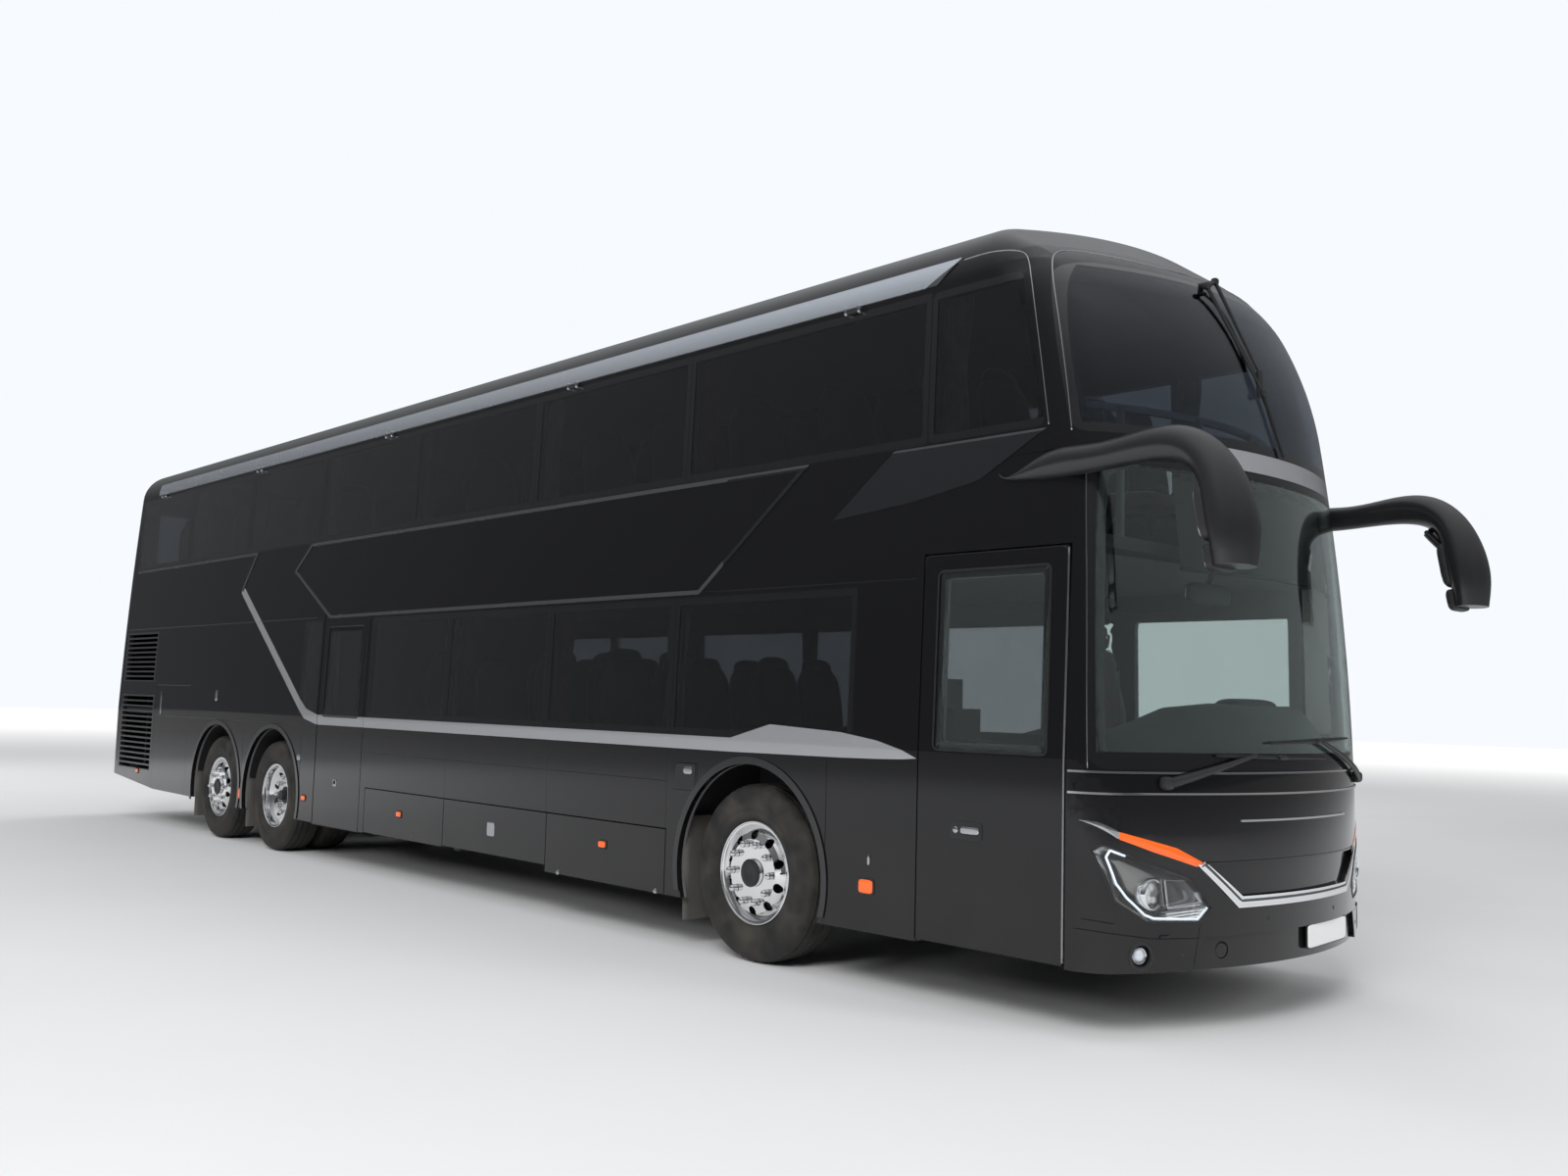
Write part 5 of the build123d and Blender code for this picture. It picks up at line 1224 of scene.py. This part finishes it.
# %% Mud flaps
ARCH_RADIUS = 0.612
MUDFLAP_TOP = 0.78
for axle, drop in (("front", 0.16), ("drive", 0.17), ("tag", 0.17)):
    for side, name in SIDES:
        u = np.linspace(0, 1, 14)[:, None]
        v = np.linspace(0, 1, 8)[None]
        flap = sheet(AXLES[axle] - ARCH_RADIUS + 0.012 * (u - 0.5) ** 2, side * (0.93 + 0.30 * v),
                     MUDFLAP_TOP - (MUDFLAP_TOP - drop) * u)[0]
        both = np.concatenate([flap, (flap + (-0.006, 0, 0))[:, ::-1]], axis=1)
        make(f"mudflap_{axle}_{name}", [(both, False, True)], "flap_rubber")

# %% [markdown]
# Over the drive and tag wheels is a dark moulded liner, an arched sheet between the skin and the floor.

# %% Arch liners
LINER_EDGE = 1.222
for axle, inner in (("drive", 0.580), ("tag", 0.600)):
    for side, name in SIDES:
        a = np.linspace(radians(12), radians(168), 30)[:, None]
        v = np.linspace(0, 1, 6)[None]
        arch = sheet(AXLES[axle] + ARCH_RADIUS * np.cos(a), side * (inner + (LINER_EDGE - inner) * v),
                     TYRE_RADIUS + ARCH_RADIUS * np.sin(a))
        make(f"arch_liner_{axle}_{name}", [arch], "plastic")

# %% [markdown]
# Seats: a crowned cushion, a tall back that bulges at the shoulder, and a headrest pad, all filled
# forms whose sides draw in. Every frame seat is replaced by a pair of these on the same spot.

# %% Seats
LOWER_ROWS = (4.350, 5.150, 5.950, 6.750)
UPPER_ROWS = tuple(1.5 + 0.79 * k for k in range(15))
WELLS = ((2.000, 3.250), (7.540, 8.650))
SEAT_HALF = 0.225


def seat(x, y, z):
    """Grids of one seat whose back's foot is at x on a floor at z."""
    lean = Matrix.Rotation(radians(-9), 4, "Y")
    return [pillow((x + 0.225, y, z + 0.395), (0.47, 0.43, 0.125), 3.6, 14, 20),
            pillow((x - 0.005, y, z + 0.700), (0.125, 0.425, 0.640), 3.4, 18, 20, turn=lean),
            pillow((x - 0.055, y, z + 0.985), (0.095, 0.290, 0.190), 3.0, 12, 18, turn=lean)]


def seat_block(name, rows, floor_z, node_name, wells=()):
    """Rows of paired seats on both sides of a deck; the left ones leave the stair wells open."""
    cloth, frames = [], []
    for behind in rows:
        for side in (-1, 1):
            if side == 1 and any(b0 - 0.15 < behind < b1 + 0.62 for b0, b1 in wells):
                continue
            x, y = along(behind), side * 0.69
            for shift in (-SEAT_HALF, SEAT_HALF):
                cloth += seat(x, y + shift, floor_z)
                frames.append(pillow((x + 0.20, y + shift, floor_z + 0.17), (0.30, 0.05, 0.33), 6, 6, 10))
            frames.append(pillow((x + 0.14, y, floor_z + 0.52), (0.34, 0.045, 0.05), 4, 6, 10))
    piece = make(name, cloth, "seat")
    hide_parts(node_name)
    make(name + "_frames", frames, "cab")


seat_block("upper_seats", UPPER_ROWS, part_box("upper_floor")[1].z, "seats_upper", WELLS)
seat_block("lower_seats", LOWER_ROWS, 0.740, "seats_lower")
DRIVER_X = along(1.560)
driver = [pillow((DRIVER_X + 0.23, 0.62, 1.175), (0.50, 0.48, 0.13), 3.6),
          pillow((DRIVER_X - 0.07, 0.62, 1.54), (0.15, 0.46, 0.66), 3.4,
                 turn=Matrix.Rotation(radians(-7), 4, "Y")),
          pillow((DRIVER_X - 0.11, 0.62, 1.92), (0.11, 0.28, 0.19), 3.0)]
driver_piece = make("driver_seat", driver, "seat")
PEDESTAL = ((0.12, 0.0), (0.12, 0.05), (0.075, 0.10), (0.075, 0.33), (0.14, 0.36), (0.0, 0.36))
make("driver_pedestal", [lathe(PEDESTAL, (DRIVER_X + 0.23, 0.62, 0.76), "z", 32)], "cab")

# %% [markdown]
# Curtains hang gathered beside the window joints. Each is a flat cloth drawn into deep folds: a sine
# wave in depth along the window, held narrow by its tie a little below the middle. The folds deepen
# where the cloth is narrow, so that its width along them stays nearly the same. The cloth's width is a
# choice, and the finished sheet's flat cut comes out 12% wider.

# %% Curtains
CLOTH_WIDTH = 0.62
HUNG_WIDTH = 0.17
FOLD_DEPTH = 1.12            # the sine's depth as a share of a straight pleat's


def curtain(behind, z0, z1, width, side, folds=6):
    """Sheet grid: a sine of folds, whose depth follows from the cloth's width and the hung one."""
    u = np.linspace(0, 1, folds * 12 + 1)[:, None]
    v = np.linspace(0, 1, 26)[None]
    narrow = 1 - 0.40 * np.exp(-((v - 0.45) / 0.22) ** 2)
    wide = width * narrow
    depth = np.sqrt(np.maximum(CLOTH_WIDTH ** 2 - wide ** 2, 0)) / (4 * folds) * FOLD_DEPTH
    z = z0 + (z1 - z0) * v + 0 * u
    x = along(behind) + (u - 0.5) * wide + 0.004 * np.sin(9 * v + 5 * u)
    return sheet(x, side * (wall_y(z) - 0.085 + depth * np.sin(2 * pi * folds * u)), z)


CURTAINS_UPPER = ((1.31, "grey"), (3.32, "red"), (5.07, "grey"), (6.87, "red"), (8.62, "grey"), (10.27, "red"),
                  (11.92, "grey"))
CURTAINS_LOWER = ((3.500, "grey"), (4.750, "red"), (6.290, "grey"))
for side, name in SIDES:
    for deck, places, z0, z1 in (("upper", CURTAINS_UPPER, 2.86, 3.60), ("lower", CURTAINS_LOWER, 1.30, 2.06)):
        for number, (behind, tone) in enumerate(places):
            grid = curtain(behind, z0, z1, HUNG_WIDTH, side)
            piece = make(f"curtain_{deck}_{name}_{number}", [grid], f"curtain_{tone}")

# %% [markdown]
# The ceilings and the instrument binnacle show through the windscreens: light lining above the front
# seats, screens on the dashboard, a sun blind and an inside mirror.

# %% Cab fittings
def ceiling(z, b0, b1, half, sag):
    """A lining that sags towards both sides by the square of the distance from the middle."""
    u = np.linspace(0, 1, 30)[:, None]
    v = np.linspace(-1, 1, 16)[None]
    return sheet(along(b0 + (b1 - b0) * u), half * v, z - sag * v ** 2)


make("cab_ceiling", [ceiling(2.225, b0, b1, 1.12, 0.012) for b0, b1 in ((0.47, 3.40), (3.42, 8.72))], "lining")
make("upper_ceiling", [ceiling(3.935, 1.25, 13.60, 0.80, 0.16)], "lining")
CREST = ((-1.10, 1.335), (-0.66, 1.440), (-0.43, 1.500), (0.0, 1.530), (0.41, 1.520), (0.88, 1.530),
         (1.05, 1.450), (1.13, 1.380))


def cowl():
    """Top of the dashboard: rises from the screen's foot to a crest whose height is a smooth curve across."""
    y = np.linspace(-1.09, 1.13, 60)[:, None]
    t = np.linspace(0, 1, 26)[None]
    crest = np.interp(y, *np.array(CREST).T) + 0 * t
    rise = np.sin(np.minimum(t / 0.72, 1.0) * pi / 2) ** 1.4
    drop = np.clip((t - 0.80) / 0.20, 0, 1) ** 1.5
    z = 1.270 + (crest - 1.270) * rise - 0.16 * drop
    ahead = front_x(y, 1.27 + 0 * y, -0.085) + 0 * t
    back = along(0.640) + 0.03 * (y / 1.1) ** 2
    return sheet(ahead + (back - ahead) * t, y, z)


make("dash_cowl", [cowl()], "cowl")
make("binnacle", [pillow((along(0.655), 0.62, 1.480), (0.16, 0.54, 0.17), 4),
                  pillow((along(0.66), 0.02, 1.40), (0.10, 0.42, 0.20), 4)], "cab")
make("displays", [pillow((along(0.738), 0.62, 1.470), (0.02, 0.40, 0.10), 6),
                  pillow((along(0.712), 0.02, 1.41), (0.02, 0.28, 0.14), 6)],
     "display")
make("inside_mirror", [pillow((along(0.35), -0.307, 2.070), (0.035, 0.390, 0.105), 5),
                       tube(np.array([(along(0.36), -0.307, 2.10), (along(0.30), -0.307, 2.25)]), 0.012, 8)], "plastic")
make("inside_mirror_glass", [pillow((along(0.370), -0.307, 2.070), (0.008, 0.370, 0.088), 6)], "mirror_glass")


def roller_blind(y0, y1, z0, z1, inset):
    """A sheet that keeps a fixed distance behind the screen, with a round bar along its foot."""
    y = np.linspace(y0, y1, 40)[:, None]
    z = np.linspace(z0, z1, 14)[None]
    cloth = sheet(front_x(y + 0 * z, z + 0 * y, -inset), y, z)
    return cloth, tube(cloth[0][:, 0], 0.010, 8)


make("screen_blind", list(roller_blind(-0.72, 1.00, 2.155, 2.600, 0.075)), "blind")
# Pale lining on the left front pillar; part of its lightness is painted sunlight.
PILLAR = ((0.487, 1.38), (0.495, 1.80), (0.512, 2.24))
line = spans(PILLAR, 24)
across = np.array((-0.078, -0.04, 0.0, 0.04, 0.075))
strip = sheet(along(line[:, :1] + across), 1.152 - 0.012 * (across / 0.075) ** 2, line[:, 1:])
make("pillar_lining", [strip], "pale_lining_painted_sunlight")

# %% [markdown]
# The blank plate is set to one side, low on the bumper, turned with the front's arc.

# %% Blank plates
plate_mid = np.array((front_x(0.265, 0.405) - 0.018, 0.265, 0.405))
turn = Matrix.Rotation(np.arcsin(0.265 / NOSE_RADIUS), 4, "Z")
make("front_plate_back", [pillow(plate_mid + (0.003, 0, 0), (0.010, 0.534, 0.122), 12, turn=turn)], "plastic")
make("front_plate", [pillow(plate_mid + (0.008, 0, 0), (0.006, 0.520, 0.110), 12, turn=turn)], "plate")
make("rear_plate", [pillow((REAR - 0.004, 0, 0.515), (0.008, 0.520, 0.060), 12)], "plate")

# %% [markdown]
# The studio: a pale floor that runs to white, a world that the camera sees as white, and soft lamps.
# Glossy black shows only what it mirrors. The soft lamps are hidden from its mirror images, so that
# gloss shows the world alone, graded from a dim horizon to a bright zenith.

# %% Studio
def studio():
    floor_mesh = bpy.data.meshes.new("floor")
    r = 90.0
    floor_mesh.from_pydata([(-r, -r, 0), (r, -r, 0), (r, r, 0), (-r, r, 0)], [], [(0, 1, 2, 3)])
    floor = bpy.data.objects.new("floor", floor_mesh)
    bpy.context.scene.collection.objects.link(floor)
    f = Finish("studio_floor", Roughness=0.85)
    f.set(Base_Color=f.mix(f.noise(0.6, 3.0), (0.70, 0.70, 0.70), (0.74, 0.74, 0.74)))
    glow = f.tree.nodes.new("ShaderNodeEmission")
    blend = f.tree.nodes.new("ShaderNodeMixShader")
    distance = (f.x * f.x + f.y * f.y).root()
    plug(f.tree, blend.inputs[0], distance.fade(15.0, 42.0))
    f.tree.links.new(f.shader.outputs[0], blend.inputs[1])
    f.tree.links.new(glow.outputs[0], blend.inputs[2])
    f.tree.links.new(blend.outputs[0], f.tree.nodes["Material Output"].inputs[0])
    sight = f.tree.nodes.new("ShaderNodeLightPath")
    plug(f.tree, glow.inputs["Strength"], Wire(f.tree, sight.outputs["Is Camera Ray"])
         .high(Wire(f.tree, sight.outputs["Is Transmission Ray"])) * 0.75 + 0.25)
    floor.data.materials.append(f.material)
    floor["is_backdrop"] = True
    world = bpy.data.worlds.new("studio")
    bpy.context.scene.world = world
    world.use_nodes = True
    tree = world.node_tree
    back = tree.nodes["Background"]
    path = tree.nodes.new("ShaderNodeLightPath")
    seen = Wire(tree, path.outputs["Is Camera Ray"]).high(Wire(tree, path.outputs["Is Transmission Ray"]))
    ray = tree.nodes.new("ShaderNodeTexCoord")
    split = tree.nodes.new("ShaderNodeSeparateXYZ")
    tree.links.new(ray.outputs["Generated"], split.inputs[0])
    height = Wire(tree, split.outputs[2])
    climb = height.fade(0.05, 0.95)
    glow = climb * climb * 0.80 + 0.10
    tree.links.new((glow * (1.0 - seen) + seen * 1.0).socket, back.inputs["Strength"])
    back.inputs["Color"].default_value = (0.93, 0.96, 1.0, 1.0)


def softbox(name, place, aim, size, power):
    """An area lamp at a place, turned towards what it lights and hidden from sight."""
    lamp = bpy.data.lights.new(name, "AREA")
    lamp.shape = "RECTANGLE"
    lamp.size, lamp.size_y = size
    lamp.energy = power
    holder = bpy.data.objects.new(name, lamp)
    holder.location = place
    holder.rotation_euler = (Vector(aim) - Vector(place)).to_track_quat("-Z", "Y").to_euler()
    holder.visible_glossy = holder.visible_transmission = holder.visible_camera = False
    bpy.context.scene.collection.objects.link(holder)


studio()
softbox("key", (12, -14, 12), (0, 0, 1.5), (9, 6), 2300)
softbox("side", (-2, -18, 7), (-1, 0, 2.2), (16, 3), 900)
softbox("front", (19, 3, 7), (6, 0, 2), (4, 7), 700)
softbox("fill", (-10, 14, 9), (0, 0, 1), (12, 6), 1100)
softbox("rear", (-18, -6, 7), (-6, 0, 2), (5, 5), 600)
softbox("cab", (along(0.95), 0.15, 2.20), (along(0.75), 0.35, 1.4), (0.9, 1.7), 7)
softbox("upper_front", (along(1.60), 0.0, 3.80), (along(0.8), 0.0, 3.0), (0.9, 1.6), 5)

# %% [markdown]
# The camera stands where the photographer stood, found from the coach's own edges: its place, its
# heading, a slight climb and a small roll, with a lens that gives the same field of view.

# %% Camera
CAMERA_PLACE = (10.0419, -6.5064, 1.4614)
YAW, PITCH, ROLL = radians(137.335), radians(4.878), radians(1.526)
LENS = 31.54
ahead = Vector((cos(YAW) * cos(PITCH), sin(YAW) * cos(PITCH), sin(PITCH)))
right = Vector((sin(YAW), -cos(YAW), 0))
up = right.cross(ahead)
right_rolled = cos(ROLL) * right + sin(ROLL) * up
up_rolled = -sin(ROLL) * right + cos(ROLL) * up
camera_data = bpy.data.cameras.new("camera")
camera_data.lens, camera_data.sensor_width = LENS, 36.0
camera_data.clip_end = 200.0
camera = bpy.data.objects.new("camera", camera_data)
turned = Matrix((right_rolled, up_rolled, -ahead)).transposed().to_4x4()
camera.matrix_world = Matrix.Translation(CAMERA_PLACE) @ turned
bpy.context.scene.collection.objects.link(camera)
bpy.context.scene.camera = camera
bpy.context.scene.view_settings.view_transform = "Standard"

# %% Sizes of the whole scene
low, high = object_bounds()
